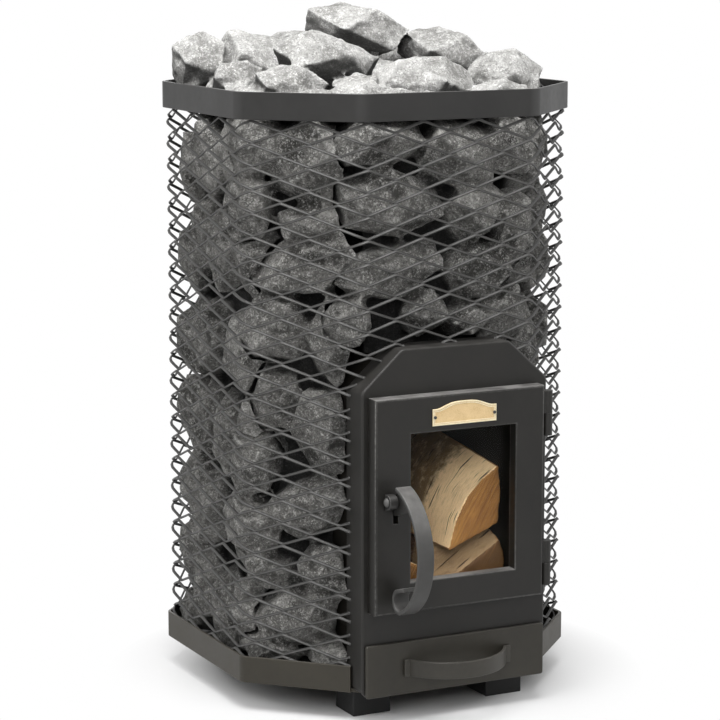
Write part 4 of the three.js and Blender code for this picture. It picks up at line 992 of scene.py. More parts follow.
@dataclass
class Cage:
    """Feet, base plate, two rims of flat bar and the expanded metal between them."""

    half_width: float = mm(243)
    half_side: float = mm(125)
    rim_height: float = mm(35)
    rim_thickness: float = mm(4)
    rim_edge: float = mm(0.9)
    top_rim_floor: float = mm(769)
    top_bend: float = mm(30)
    bottom_rim_floor: float = mm(38.3)
    bottom_bend: float = mm(16)
    plate_gap: float = mm(140)
    mesh_inset: float = mm(7.4)
    mesh_bend: float = mm(20)
    mesh_floor: float = mm(25.95)
    first_row: int = 2
    last_row: int = 52
    columns: int = 21
    short_pitch: float = mm(29.4)
    strand_width: float = mm(3.9)
    strand_thickness: float = mm(2.0)
    strand_tilt: float = math.radians(48)
    strand_depth: float = mm(2.0)
    bond: float = 1.08
    phase: float = 0.235
    strand_steps: tuple[float, ...] = (-0.2315, -0.139, -0.046, 0.046, 0.139, 0.2315)
    plate_outline: tuple[tuple[float, float], ...] = (
        (134, 30),
        (134, 433.3),
        (77.7, 484.7),
        (-77.7, 484.7),
        (-134, 433.3),
        (-134, 30),
    )
    flue_place: tuple[float, float] = (0, 395)
    flue_hole: float = mm(64)

    def build(self) -> None:
        """Builds and dresses the cage."""
        self.top_rim()
        self.bottom_rim()
        self.expanded_metal()
        for end in ("front", "rear"):
            for side in ("left", "right"):
                node = f"foot_{end}_{side}"
                softened_node(node, f"shoe_{end}_{side}", Body.STOVE, FOOT_PAINT, mm(1.5), 3)
        finish_nodes(BASE_RIM_PAINT, "base_plate")

    def plan(self, inset: float, bend: float) -> Ring:
        """Gives the cage's plan, moved in.

        Args:
            inset: how far in from the rims' outer faces.
            bend: the bends' radius there.

        Returns:
            The plan.
        """
        width = self.half_width - inset
        cut = (self.half_width + self.half_side) / math.sqrt(2) - inset
        return Ring(width, cut * math.sqrt(2) - width, bend)

    def rim_stations(self, plan: Ring, ways: Sequence[float], height: float) -> list[Station]:
        """Gives stations for a rim's flat bar."""
        find = plan.walker()
        spots = []
        for way in ways:
            place, out = find(way)
            spots.append(Station(place + Vector((0, 0, height)), out, Vector((0, 0, 1))))
        return spots

    def top_rim(self) -> None:
        """Builds the closed rim at the top."""
        plan = self.plan(self.rim_thickness / 2, self.top_bend - self.rim_thickness / 2)
        shape = bmesh.new()
        spots = self.rim_stations(plan, plan.corners_walked(10), self.top_rim_floor + self.rim_height / 2)
        sweep(shape, spots, rounded_bar(self.rim_thickness, self.rim_height, self.rim_edge), True)
        made = piece("upper_rim", to_mesh("upper_rim", shape), Body.STOVE, [RIM_PAINT], ["top_rim"])
        weigh_normals(made)

    def bottom_rim(self) -> None:
        """Builds the open rim at the bottom, which ends at the front plate."""
        plan = self.plan(self.rim_thickness / 2, self.bottom_bend - self.rim_thickness / 2)
        total = plan.length()
        ends = total / 2 - self.plate_gap, total / 2 + self.plate_gap
        ways = [way for way in plan.corners_walked(8) if not ends[0] - mm(2) < way < ends[1] + mm(2)]
        before = [way for way in ways if way < total / 2]
        after = [way for way in ways if way > total / 2]
        spots = self.rim_stations(
            plan, [ends[1], *after, *before, ends[0]], self.bottom_rim_floor + self.rim_height / 2
        )
        shape = bmesh.new()
        sweep(shape, spots, rounded_bar(self.rim_thickness, self.rim_height, self.rim_edge), False)
        mesh = to_mesh("lower_rim", shape)
        weigh_normals(piece("lower_rim", mesh, Body.STOVE, [BASE_RIM_PAINT], ["bottom_rim"]))

    def hidden(self, place: Vector) -> bool:
        """Says whether a point of the mesh falls on the front plate or on the flue collar."""
        x, z = place.x * 1000, place.z * 1000
        if place.y < CAGE_MIDDLE_Y:
            return abs(place.x) < self.half_side * 1.2 and self.on_plate(x, z) and place.y < CAGE_MIDDLE_Y - mm(200)
        across, up = x - self.flue_place[0], z - self.flue_place[1]
        return place.y > CAGE_MIDDLE_Y + mm(200) and math.hypot(across, up) < self.flue_hole * 1000

    def on_plate(self, x: float, z: float) -> bool:
        """Says whether a point in millimetres lies within the front plate's outline."""
        inside = True
        points = self.plate_outline
        for (x0, z0), (x1, z1) in zip(points, points[1:] + points[:1]):
            inside = inside and (x1 - x0) * (z - z0) - (z1 - z0) * (x - x0) >= 0
        return inside

    def strand_point(self, find: Callable[[float], tuple[Vector, Vector]], row: int, way: float, pitch: float) -> tuple[Vector, Vector]:
        """Gives a point on a row's zigzag strand.

        Args:
            find: the plan's walker.
            row: the row's number.
            way: how far round.
            pitch: the diamonds' width.

        Returns:
            The point on the strand's middle line and the outward direction.
        """
        turns = way / pitch + self.phase + 0.5 * (row % 2)
        wave = max(-1.0, min(1.0, self.bond * (1 - 4 * abs((turns + 0.25) % 1 - 0.5))))
        swing = self.short_pitch / 4 - self.strand_width * math.cos(self.strand_tilt) / 2 * 0.85
        flat, out = find(way)
        height = self.mesh_floor + row * self.short_pitch / 2 + wave * swing
        wander = noise.noise((way * 9, row * 0.7, 3.1)) * mm(0.5)
        return flat + out * (wave * self.strand_depth) + Vector((0, 0, height + wander)), out

    def expanded_metal(self) -> None:
        """Builds the sheet of expanded metal as zigzag strands, cut and welded where it meets the plate."""
        plan = self.plan(self.mesh_inset, self.mesh_bend)
        find = plan.walker()
        total = plan.length()
        pitch = total / self.columns
        section = rounded_bar(self.strand_width, self.strand_thickness, mm(0.5), 1)
        shape = bmesh.new()
        welds: list[Vector] = []
        for row in range(self.first_row, self.last_row + 1):
            for ways, closed in self.visible_runs(find, row, total, pitch):
                if not closed:
                    welds += [self.strand_point(find, row, way, pitch)[0] for way in (ways[0], ways[-1])]
                spots = self.strand_stations(find, row, ways, pitch)
                sweep(shape, spots, section, closed)
        for number, weld in enumerate(welds):
            self.weld(shape, weld, number)
        sides = ("front", "front_right", "right", "rear_right", "rear", "rear_left", "left", "front_left")
        piece(
            "expanded_metal",
            to_mesh("expanded_metal", shape, 50),
            Body.STOVE,
            [MESH_STEEL],
            [f"mesh_{side}" for side in sides],
        )

    def visible_runs(
        self, find: Callable[[float], tuple[Vector, Vector]], row: int, total: float, pitch: float
    ) -> list[tuple[list[float], bool]]:
        """Splits a row where the plate or the collar takes its place.

        Args:
            find: the plan's walker.
            row: the row's number.
            total: the way round.
            pitch: the diamonds' width.

        Returns:
            Each run's ways, and whether it goes all the way round.
        """
        middles = [pitch * (half / 2 - self.phase - 0.5 * (row % 2)) for half in range(2 * self.columns)]
        ways = sorted((middle + pitch * step) % total for middle in middles for step in self.strand_steps)
        count = len(ways)
        shown = [not self.hidden(self.strand_point(find, row, way, pitch)[0]) for way in ways]
        if all(shown):
            return [(ways, True)]
        first = shown.index(False)
        runs: list[list[float]] = []
        current: list[float] = []
        for offset in range(count + 1):
            index = (first + offset) % count
            way = ways[index] + (total if first + offset >= count else 0.0)
            before = ways[index - 1] + (total if first + offset > count else 0.0) - (0.0 if index else total)
            if shown[index]:
                if not current:
                    current.append(self.border(find, row, way, before, pitch))
                current.append(way)
            elif current:
                current.append(self.border(find, row, before, way, pitch))
                runs.append(current)
                current = []
        return [(run, False) for run in runs]

    def border(self, find: Callable[[float], tuple[Vector, Vector]], row: int, seen: float, lost: float, pitch: float) -> float:
        """Finds where a row meets the plate or the collar, between a way that shows and one that doesn't."""
        for _ in range(12):
            middle = (seen + lost) / 2
            if self.hidden(self.strand_point(find, row, middle, pitch)[0]):
                lost = middle
            else:
                seen = middle
        return seen

    def strand_stations(
        self, find: Callable[[float], tuple[Vector, Vector]], row: int, ways: Sequence[float], pitch: float
    ) -> list[Station]:
        """Gives stations for a strand, tilted so that its face looks up and out."""
        spots = []
        step = mm(1.5)
        for way in ways:
            place, out = self.strand_point(find, row, way, pitch)
            ahead = self.strand_point(find, row, way + step, pitch)[0]
            behind = self.strand_point(find, row, way - step, pitch)[0]
            along = (ahead - behind).normalized()
            up = out.cross(along).normalized()
            outward = along.cross(up)
            lean, face = math.cos(self.strand_tilt), math.sin(self.strand_tilt)
            spots.append(Station(place, up * lean - outward * face, outward * lean + up * face))
        return spots

    def weld(self, shape: bmesh.types.BMesh, place: Vector, number: int) -> None:
        """Adds a small flattened weld bead."""
        grow = 1 + 0.25 * noise.noise((number * 1.7, 0.3, 0.9))
        size = Matrix.Diagonal((*(mm(s) * grow for s in (2.2, 2.5, 2.3)), 1))
        bmesh.ops.create_icosphere(shape, subdivisions=2, radius=1, matrix=Matrix.Translation(place) @ size)


# Stones


@dataclass(frozen=True)
class Infill:
    """Small stones wedged behind the large ones of a face, in millimetres about the cage's middle.

    The face is turned from the front by an angle in degrees, and the stones lie at a reach from the middle.
    """

    cluster: str
    turn: float
    reach: float
    half_width: float
    bottom: float
    top: float


@dataclass
class StonePacking:
    """The stones in the cage and the heap on top."""

    voxel: float = mm(3.1)
    rounding: int = 1
    ridge_reach: int = 4
    hollow_reach: int = 40
    ridge_height: float = mm(0.8)
    hollow_depth: float = mm(5.5)
    hollow_start: float = 0.22
    groove_gain: float = 0.8
    groove_limit: float = mm(9)
    swell: float = mm(2.4)
    chips: float = mm(6.5)
    chip_often: tuple[float, float] = (27.0, 74.0)
    chip_fine: float = 0.4
    chip_joint: float = 14.0
    sink: float = mm(2.2)
    seed: int = 11
    small_pitch: float = 62
    small_size: float = 25
    small_scatter: float = 16
    heap_floor: float = 784
    heap_half: float = 190
    heap_corner: float = 270
    infills: tuple[Infill, ...] = (
        Infill("rear_left", -135, 202, 50, 82, 738),
        Infill("rear_lower", 180, 185, 92, 82, 296),
        Infill("rear_upper", 180, 185, 92, 496, 738),
        Infill("rear_right", 135, 202, 50, 82, 738),
        Infill("right", 90, 185, 92, 82, 738),
    )
    clusters: tuple[str, ...] = (
        "front",
        "front_left",
        "left",
        "rear_left",
        "rear_lower",
        "rear_upper",
        "rear_right",
        "right",
        "front_right",
        "heap",
    )

    def build(self) -> None:
        """Builds and dresses every cluster, with noise vectors that are the same each run."""
        noise.seed_set(self.seed)
        for number, cluster in enumerate(self.clusters):
            self.cluster(cluster, number)

    def cluster(self, cluster: str, number: int) -> None:
        """Builds one face's stones.

        Args:
            cluster: the face's name.
            number: sets where in the noise it lies.
        """
        mesh = dense(f"stones_{cluster}", self.voxel, self.small_stones(cluster))
        shape = bmesh.new()
        shape.from_mesh(mesh)
        bpy.data.meshes.remove(mesh)
        relax(shape, self.rounding)
        shape.normal_update()
        skin = [(vertex.co.copy(), vertex.normal.copy()) for vertex in shape.verts]
        relax(shape, self.ridge_reach)
        ridges = self.stand_out(shape, skin)
        relax(shape, self.hollow_reach)
        hollows = self.stand_out(shape, skin)
        self.mark(shape, StoneMark.RIDGE, [ridge / self.ridge_height for ridge in ridges])
        # Hollows are marked for the rock's painted shade.
        self.mark(shape, StoneMark.HOLLOW, [-hollow / self.hollow_depth - self.hollow_start for hollow in hollows])
        shift = Vector((number * 3.1, 0.7, 0.2))
        tones = []
        for vertex, (place, normal), hollow in zip(shape.verts, skin, hollows):
            groove = max(min(hollow * self.groove_gain, 0.0), -self.groove_limit)
            height, tone = self.relief(place + shift)
            tones.append(tone)
            vertex.co = place + normal * (groove + height)
        self.mark(shape, StoneMark.FACET, tones)
        name = f"rocks_{cluster}"
        mesh = to_mesh(name, shape, 60)
        # The heap takes the copy painted lit, the cage's faces the copy painted in shade.
        finish = LIT_HEAP_ROCK if cluster == "heap" else SHADED_CAGE_ROCK
        piece(name, mesh, Body.STOVE, [finish], [f"stones_{cluster}"])

    def small_stones(self, cluster: str) -> list[Matrix]:
        """Gives the small stones of a cluster, each as a unit lump's place, turn and size."""
        stones = []
        for number, place in enumerate(self.small_places(cluster)):
            stir = noise.noise_vector(place * 91 + Vector((0, 0, number * 1.7)))
            size = mm(self.small_size) * (1 + 0.4 * stir.x)
            turn = Euler(stir * 4).to_matrix().to_4x4()
            moved = Matrix.Translation(place + stir * mm(self.small_scatter))
            stones.append(moved @ turn @ Matrix.Diagonal((size * 1.2, size, size * 0.85, 1)))
        return stones

    def small_places(self, cluster: str) -> list[Vector]:
        """Gives where a cluster's small stones lie, before each is moved a little."""
        if cluster == "heap":
            steps = self.spread(-self.heap_half, self.heap_half)
            return [at(x, y, self.heap_floor) for x in steps for y in steps if abs(x) + abs(y) < self.heap_corner]
        places = []
        for infill in self.infills:
            if infill.cluster == cluster:
                turn = math.radians(infill.turn)
                out = Vector((math.sin(turn), -math.cos(turn)))
                for along in self.spread(-infill.half_width, infill.half_width):
                    x, y = out * infill.reach + Vector((-out.y, out.x)) * along
                    places += [at(x, y, z) for z in self.spread(infill.bottom, infill.top)]
        return places

    def spread(self, low: float, high: float) -> list[float]:
        """Gives even steps from one end to the other, about one pitch apart."""
        count = round((high - low) / self.small_pitch)
        return [low + (high - low) * step / count for step in range(count + 1)]

    def stand_out(self, shape: bmesh.types.BMesh, skin: Sequence[tuple[Vector, Vector]]) -> list[float]:
        """Gives how far each point of the skin stands out from the relaxed shape.

        Args:
            shape: the relaxed shape.
            skin: each point's place and normal before it was relaxed.

        Returns:
            One distance a point, in metres, negative in a hollow.
        """
        return [(place - vertex.co).dot(normal) for vertex, (place, normal) in zip(shape.verts, skin)]

    def mark(self, shape: bmesh.types.BMesh, mark: StoneMark, values: Sequence[float]) -> None:
        """Writes a value from 0 to 1 on each point, for the finish to read."""
        layer = shape.verts.layers.float.new(mark.value)
        for vertex, value in zip(shape.verts, values):
            vertex[layer] = max(0.0, min(1.0, value))

    def relief(self, place: Vector) -> tuple[float, float]:
        """Gives how far a stone's skin stands out or in at a place, and its facet's tone from 0 to 1."""
        broad = noise.fractal(place * 24, 1.0, 2.1, 3)
        large, tone = self.chip(place * self.chip_often[0])
        small, _ = self.chip(place * self.chip_often[1])
        height = self.swell * broad * 0.6 + self.chips * (large + self.chip_fine * small) - self.sink
        return min(height, self.sink * 0.6), tone

    def chip(self, place: Vector) -> tuple[float, float]:
        """Gives the height of flat chips that lean every way.

        Args:
            place: a point, in chips.

        Returns:
            The height about 0, and the chip's own number from 0 to 1.
        """
        spans, middles = noise.voronoi(place)
        height = whole = 0.0
        for span, middle in zip(spans[:3], middles[:3]):
            share = math.exp(self.chip_joint * (spans[0] - span))
            lean = noise.noise_vector(middle * 7.31)
            height += share * (lean.dot(place - middle) + 0.3 * noise.noise(middle * 3.7))
            whole += share
        return height / whole, 0.5 + 0.7 * noise.noise(middles[0] * 5.3)


# Firebox


@dataclass
class Firebox:
    """Shell, grate, baffle, flue collar and ash box: what shows through the glass and with the door open."""

    flue_edge: float = mm(0.6)

    def build(self) -> None:
        """Dresses the firebox and softens the collar."""
        finish_nodes(FIRE_STEEL, "firebox_shell", "ash_box", "latch_catch")
        finish_nodes(CAST_IRON, "flame_baffle")
        softened_node("grate", "cast_grate", Body.STOVE, CAST_IRON, mm(1.2), 2)
        softened_node("flue_collar", "flue_stub", Body.STOVE, FIRE_STEEL, self.flue_edge, 2)


@dataclass(frozen=True)
class Log:
    """One split log: the directions its bark faces, in degrees from +X towards +Z, and its finishes.

    The log thickens upwards towards its back end by the given rise, in metres.
    """

    node: str
    bark_from: float
    bark_to: float
    bark: Bark
    rise: float = 0.0
    end: CutWood = SAWN_WOOD


@dataclass
class LogStack:
    """Split birch logs laid front to back on the grate."""

    voxel: float = mm(2.4)
    fibre_depth: float = mm(1.1)
    bark_depth: float = mm(0.8)
    logs: tuple[Log, ...] = (
        Log("log_upper_right", 108, 182, PALE_BARK, mm(32)),
        Log("log_lower_right", 88, 165, BROWN_AND_SHADED_BARK, end=MOTTLED_AND_SHADED_END),
        Log("log_lower_left", 20, 150, PALE_BARK),
        Log("log_rear_left", -180, 180, DARK_BARK),
    )

    def build(self) -> None:
        """Builds and dresses the logs."""
        for entry in self.logs:
            self.split_log(entry)

    def split_log(self, entry: Log) -> None:
        """Builds one log with a fibrous split, bark and sawn ends."""
        mesh = dense(entry.node, self.voxel)
        shape = bmesh.new()
        shape.from_mesh(mesh)
        bpy.data.meshes.remove(mesh)
        relax(shape, 1)
        shape.normal_update()
        for face in shape.faces:
            face.material_index = self.kind(entry, face.normal)
        moves = []
        for vertex in shape.verts:
            kind = self.kind(entry, vertex.normal)
            moves.append(vertex.normal * self.relief(kind, vertex.co))
        low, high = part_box(entry.node)
        for vertex, move in zip(shape.verts, moves):
            back = (vertex.co.y - low.y) / (high.y - low.y)
            up = (vertex.co.z - low.z) / (high.z - low.z)
            vertex.co += move + Vector((0, 0, entry.rise * back * up**2))
        name = "birch_" + entry.node.removeprefix("log_")
        mesh = to_mesh(name, shape, 45)
        piece(name, mesh, Body.STOVE, [entry.bark, SPLIT_WOOD, entry.end], [entry.node])

    def kind(self, entry: Log, normal: Vector) -> int:
        """Gives 0 for bark, 1 for split wood and 2 for a sawn end, from the way a face looks."""
        if abs(normal.y) > 0.72:
            return 2
        angle = math.degrees(math.atan2(normal.z, normal.x))
        return 0 if entry.bark_from <= angle <= entry.bark_to else 1

    def relief(self, kind: int, place: Vector) -> float:
        """Gives how far a log's skin stands out or in at a place."""
        if kind == 2:
            return mm(0.25) * noise.noise(place * 300)
        if kind == 1:
            return self.fibre_depth * noise.fractal(Vector((place.x * 130, place.y * 9, place.z * 130)), 0.9, 2.0, 3)
        return self.bark_depth * noise.fractal(Vector((place.x * 30, place.y * 60, place.z * 30)), 0.9, 2.0, 3)


# Front plate and door


@dataclass
class FrontPlate:
    """The folded plate that carries the door, and the stove's halves of the hinges."""

    fold: float = mm(3.2)
    hole_edge: float = mm(0.7)
    face_y: float = -258
    hole_margin: float = 6
    door_hole: tuple[float, float, float, float] = (-101, 104, 166, 404)
    drawer_hole: tuple[float, float, float, float] = (-108, 108, 46.4, 103)

    def build(self) -> None:
        """Builds and dresses the plate."""
        shape = node_shape("front_plate")
        soften(shape, self.fold, 4, self.on_fold)
        soften(shape, self.hole_edge, 2, self.on_hole)
        mesh = to_mesh("folded_plate", shape)
        weigh_normals(piece("folded_plate", mesh, Body.STOVE, [PLATE_PAINT], ["front_plate"]))
        for level in ("upper", "lower"):
            node = f"hinge_frame_{level}"
            softened_node(node, f"hinge_barrel_{level}", Body.STOVE, PLATE_PAINT, mm(0.7))

    def on_front(self, place: Vector) -> bool:
        """Says whether a point lies in the plate's front face."""
        return place.y < at(0, self.face_y, 0).y + mm(0.3)

    def in_hole(self, place: Vector) -> bool:
        """Says whether a point lies at the rim of the door's or the drawer's hole."""
        x, z = place.x * 1000, place.z * 1000
        return any(
            x0 - self.hole_margin < x < x1 + self.hole_margin and z0 - self.hole_margin < z < z1 + self.hole_margin
            for x0, x1, z0, z1 in (self.door_hole, self.drawer_hole)
        )

    def on_fold(self, place: Vector) -> bool:
        """Says whether an edge is the fold round the plate."""
        return self.on_front(place) and not self.in_hole(place)

    def on_hole(self, place: Vector) -> bool:
        """Says whether an edge is the front rim of a hole."""
        return self.on_front(place) and self.in_hole(place)


@dataclass
class Door:
    """The fire door with its window, seals, hinges, nameplate and pivot lug."""

    edge: float = mm(0.8)
    fold: float = mm(4.2)
    lip: float = mm(2.6)
    face_y: float = -278
    inner: tuple[float, float, float, float] = (-118, 112, 156, 419)
    window: tuple[float, float, float, float] = (-77, 80, 185, 382)
    guard: tuple[float, float, float, float] = (-79.5, -90.2, -273.9, -256)
    guard_height: tuple[float, float] = (256, 314)
    rope_radius: float = mm(3.9)
    rope_strands: int = 3
    rope_twist: float = mm(17)
    rope_steps: int = 460
    plate_edges: tuple[float, float, float, float] = (-45, 47, 387, 408.5)
    plate_crown: float = 416.7
    plate_ear: float = 0.92
    plate_fullness: float = 1.6
    border: float = 1.7
    ridge: float = 0.8
    relief: float = 0.75
    crown_steps: int = 50

    def build(self) -> None:
        """Builds and dresses the door."""
        self.shell()
        self.slot_guard()
        finish_nodes(GLASS, "door_glass")
        finish_nodes(ROPE, "glass_seal")
        self.rope_seal()
        for level in ("upper", "lower"):
            node = f"hinge_door_{level}"
            softened_node(node, f"hinge_sleeve_{level}", Body.DOOR, PLATE_PAINT, mm(0.7))
        for end in ("top", "bottom"):
            softened_node(f"glass_clip_{end}", f"pane_clip_{end}", Body.DOOR, DARK_STEEL, mm(0.4))
            for side in ("left", "right"):
                finish_nodes(DARK_STEEL, f"glass_stud_{end}_{side}")
        self.nameplate()
        finish_nodes(DARK_STEEL, "nameplate_rivet_left", "nameplate_rivet_right")
        softened_node("handle_lug", "pivot_lug", Body.DOOR, DARK_STEEL, mm(0.8))
        softened_node("pivot_bolt", "domed_bolt", Body.DOOR, BOLT_STEEL, mm(0.5))

    def shell(self) -> None:
        """Builds the folded door, its outer fold rounded more than the window's lip."""
        shape = node_shape("door_frame")
        soften(shape, self.fold, 5, self.on_fold)
        soften(shape, self.lip, 4, self.on_lip)
        mesh = to_mesh("door_shell", shape)
        weigh_normals(piece("door_shell", mesh, Body.DOOR, [DOOR_PAINT], ["door_frame"]))

    def on_fold(self, place: Vector) -> bool:
        """Says whether an edge is the fold round the door's front."""
        return self.on_front(place) and not self.within(place, self.inner)

    def on_lip(self, place: Vector) -> bool:
        """Says whether an edge is the window's front edge."""
        return self.on_front(place) and self.within(place, self.window)

    def on_front(self, place: Vector) -> bool:
        """Says whether a point lies in the door's front face."""
        return place.y < at(0, self.face_y, 0).y + mm(0.3)

    def within(self, place: Vector, sides: tuple[float, float, float, float]) -> bool:
        """Says whether a point lies within sides of x and z, in millimetres."""
        x0, x1, z0, z1 = sides
        return x0 < place.x * 1000 < x1 and z0 < place.z * 1000 < z1

    def slot_guard(self) -> None:
        """Builds the bent sheet behind the door that shields the latch's slot from the fire."""
        foot, bend, front, back = self.guard
        low, high = self.guard_height
        line = ((foot, front), (bend + 2, front), (bend + 0.6, front + 0.6), (bend, front + 2), (bend, back))
        points = [at(x, y, (low + high) / 2) for x, y in line]
        shape = bmesh.new()
        section = rounded_bar(mm(high - low), mm(1.4), mm(0.4), 2)
        sweep(shape, path_stations(points, Vector((0, 0, 1))), section, False)
        piece("slot_guard", to_mesh("slot_guard", shape), Body.DOOR, [FIRE_STEEL])

    def rope_seal(self) -> None:
        """Builds the twisted rope round the back of the door."""
        low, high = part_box("door_rope_seal")
        middle_y = (low.y + high.y) / 2
        radius = self.rope_radius
        inset = (high.y - low.y) / 2
        corner = mm(16)
        line = self.rounded_loop(low.x + inset, high.x - inset, low.z + inset, high.z - inset, corner)
        total = sum((b - a).length for a, b in zip(line, line[1:] + line[:1]))
        turns = round(total / self.rope_twist)
        shape = bmesh.new()
        strand = [(math.cos(a) * radius * 0.56, math.sin(a) * radius * 0.56) for a in (math.tau * i / 7 for i in range(7))]
        for number in range(self.rope_strands):
            spots = []
            walked = 0.0
            for here, after in zip(line, line[1:] + line[:1]):
                along = (after - here).normalized()
                across = Vector((0, 0, 0)) + Vector((along.y, 0, -along.x))
                turn = math.tau * (walked / total * turns + number / self.rope_strands)
                flat = Vector((here.x, middle_y, here.y))
                offset = across * math.cos(turn) + Vector((0, 1, 0)) * math.sin(turn)
                spots.append(Station(flat + offset * radius * 0.45, across, Vector((0, 1, 0))))
                walked += (after - here).length
            sweep(shape, spots, strand, True)
        piece("twisted_rope", to_mesh("twisted_rope", shape, 80), Body.DOOR, [ROPE], ["door_rope_seal"])

    def rounded_loop(self, x0: float, x1: float, z0: float, z1: float, corner: float) -> list[Vector]:
        """Gives evenly spaced points round an upright rectangle with rounded corners.

        Args:
            x0: left side.
            x1: right side.
            z0: lower side.
            z1: upper side.
            corner: the corners' radius.

        Returns:
            Points of x and z, anticlockwise as seen with x to the right.
        """
        centres = ((x1 - corner, z0 + corner, -90), (x1 - corner, z1 - corner, 0), (x0 + corner, z1 - corner, 90), (x0 + corner, z0 + corner, 180))
        outline = []
        for x, z, start in centres:
            for step in range(13):
                turn = math.radians(start + 90 * step / 12)
                outline.append(Vector((x + corner * math.cos(turn), z + corner * math.sin(turn))))
        lengths = [(b - a).length for a, b in zip(outline, outline[1:] + outline[:1])]
        total = sum(lengths)
        points, index, passed = [], 0, 0.0
        for step in range(self.rope_steps):
            wanted = total * step / self.rope_steps
            while passed + lengths[index] < wanted:
                passed += lengths[index]
                index += 1
            share = (wanted - passed) / lengths[index]
            points.append(outline[index].lerp(outline[(index + 1) % len(outline)], share))
        return points

    def crowned_outline(self, inset: float) -> list[tuple[float, float]]:
        """Gives the nameplate's outline, moved in.

        Args:
            inset: how far in, in millimetres.

        Returns:
            Points of x and z in millimetres, anticlockwise.
        """
        x0, x1, z0, z1 = self.plate_edges
        middle, half = (x0 + x1) / 2, (x1 - x0) / 2
        points = [(x0 + inset, z0 + inset), (x1 - inset, z0 + inset)]
        for step in range(self.crown_steps + 1):
            across = 1 - 2 * step / self.crown_steps
            swell = min(abs(across) / self.plate_ear, 1.0) ** self.plate_fullness
            rise = (self.plate_crown - z1) * (0.5 + 0.5 * math.cos(math.pi * swell))
            points.append((middle + across * (half - inset), z1 + rise - inset))
        return points

    def nameplate(self) -> None:
        """Builds the bare nameplate: a border, a groove, a ridge and a stippled field."""
        low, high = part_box("nameplate")
        front, back = low.y, high.y
        sunk = front + mm(self.relief)
        inner = self.border
        layers = [
            (0.0, back),
            (0.0, front + mm(0.25)),
            (0.25, front),
            (inner, front),
            (inner + 0.3, sunk),
            (inner + 0.8, sunk),
            (inner + 1.0, front + mm(0.12)),
            (inner + 1.0 + self.ridge, front + mm(0.12)),
            (inner + 1.2 + self.ridge, sunk),
        ]
        shape = bmesh.new()
        rings = []
        for inset, y in layers:
            rings.append([shape.verts.new((mm(x), y, mm(z))) for x, z in self.crowned_outline(inset)])
        for ring, after in zip(rings, rings[1:]):
            for index in range(len(ring)):
                following = (index + 1) % len(ring)
                shape.faces.new((ring[index], ring[following], after[following], after[index]))
        shape.faces.new(rings[0])
        shape.faces.new(rings[-1])
        bmesh.ops.triangulate(shape, faces=[face for face in shape.faces if len(face.verts) > 4])
        for face in shape.faces:
            face.material_index = int(face.calc_center_median().y > front + mm(self.relief * 0.6))
        mesh = to_mesh("bare_nameplate", shape, 25)
        piece("bare_nameplate", mesh, Body.DOOR, [PALE_BRASS, OCHRE_BRASS], ["nameplate"])


@dataclass
class DoorHandle:
    """The bowed flat bar with its curled end, and the latch tongue."""

    x: float = -96.5
    width: float = mm(22)
    thickness: float = mm(5)
    edge: float = mm(1.3)
    door_face: float = -278
    centre: tuple[float, float] = (-3.5, 235)
    radius: float = 84
    start: float = 74
    end: float = -64
    curl_radius: float = 14
    curl_end: float = -254
    tail: float = 19
    bow_steps: int = 60
    curl_steps: int = 30

    def build(self) -> None:
        """Builds and dresses the handle."""
        points = [self.spot(out, z) for out, z in self.line()]
        shape = bmesh.new()
        sweep(shape, path_stations(points, Vector((1, 0, 0))), rounded_bar(self.width, self.thickness, self.edge, 4), False)
        mesh = to_mesh("bowed_handle", shape)
        weigh_normals(piece("bowed_handle", mesh, Body.HANDLE, [HANDLE_PAINT], ["door_handle"]))
        softened_node("latch_tongue", "latch_nose", Body.HANDLE, DARK_STEEL, mm(0.5))

    def spot(self, out: float, z: float) -> Vector:
        """Gives the place of a point that stands out from the door's face."""
        return at(self.x, self.door_face - out, z)

    def line(self) -> list[tuple[float, float]]:
        """Gives the bar's middle line.

        Returns:
            Points of the way out from the door and the height, in millimetres.
        """
        points = []
        for step in range(self.bow_steps + 1):
            turn = math.radians(self.start + (self.end - self.start) * step / self.bow_steps)
            points.append((self.centre[0] + self.radius * math.cos(turn), self.centre[1] + self.radius * math.sin(turn)))
        end = math.radians(self.end)
        middle = (points[-1][0] - self.curl_radius * math.cos(end), points[-1][1] - self.curl_radius * math.sin(end))
        for step in range(1, self.curl_steps + 1):
            turn = math.radians(self.end + (self.curl_end - self.end) * step / self.curl_steps)
            points.append((middle[0] + self.curl_radius * math.cos(turn), middle[1] + self.curl_radius * math.sin(turn)))
        way = math.radians(self.curl_end)
        points.append((points[-1][0] + self.tail * math.sin(way), points[-1][1] - self.tail * math.cos(way)))
        return points


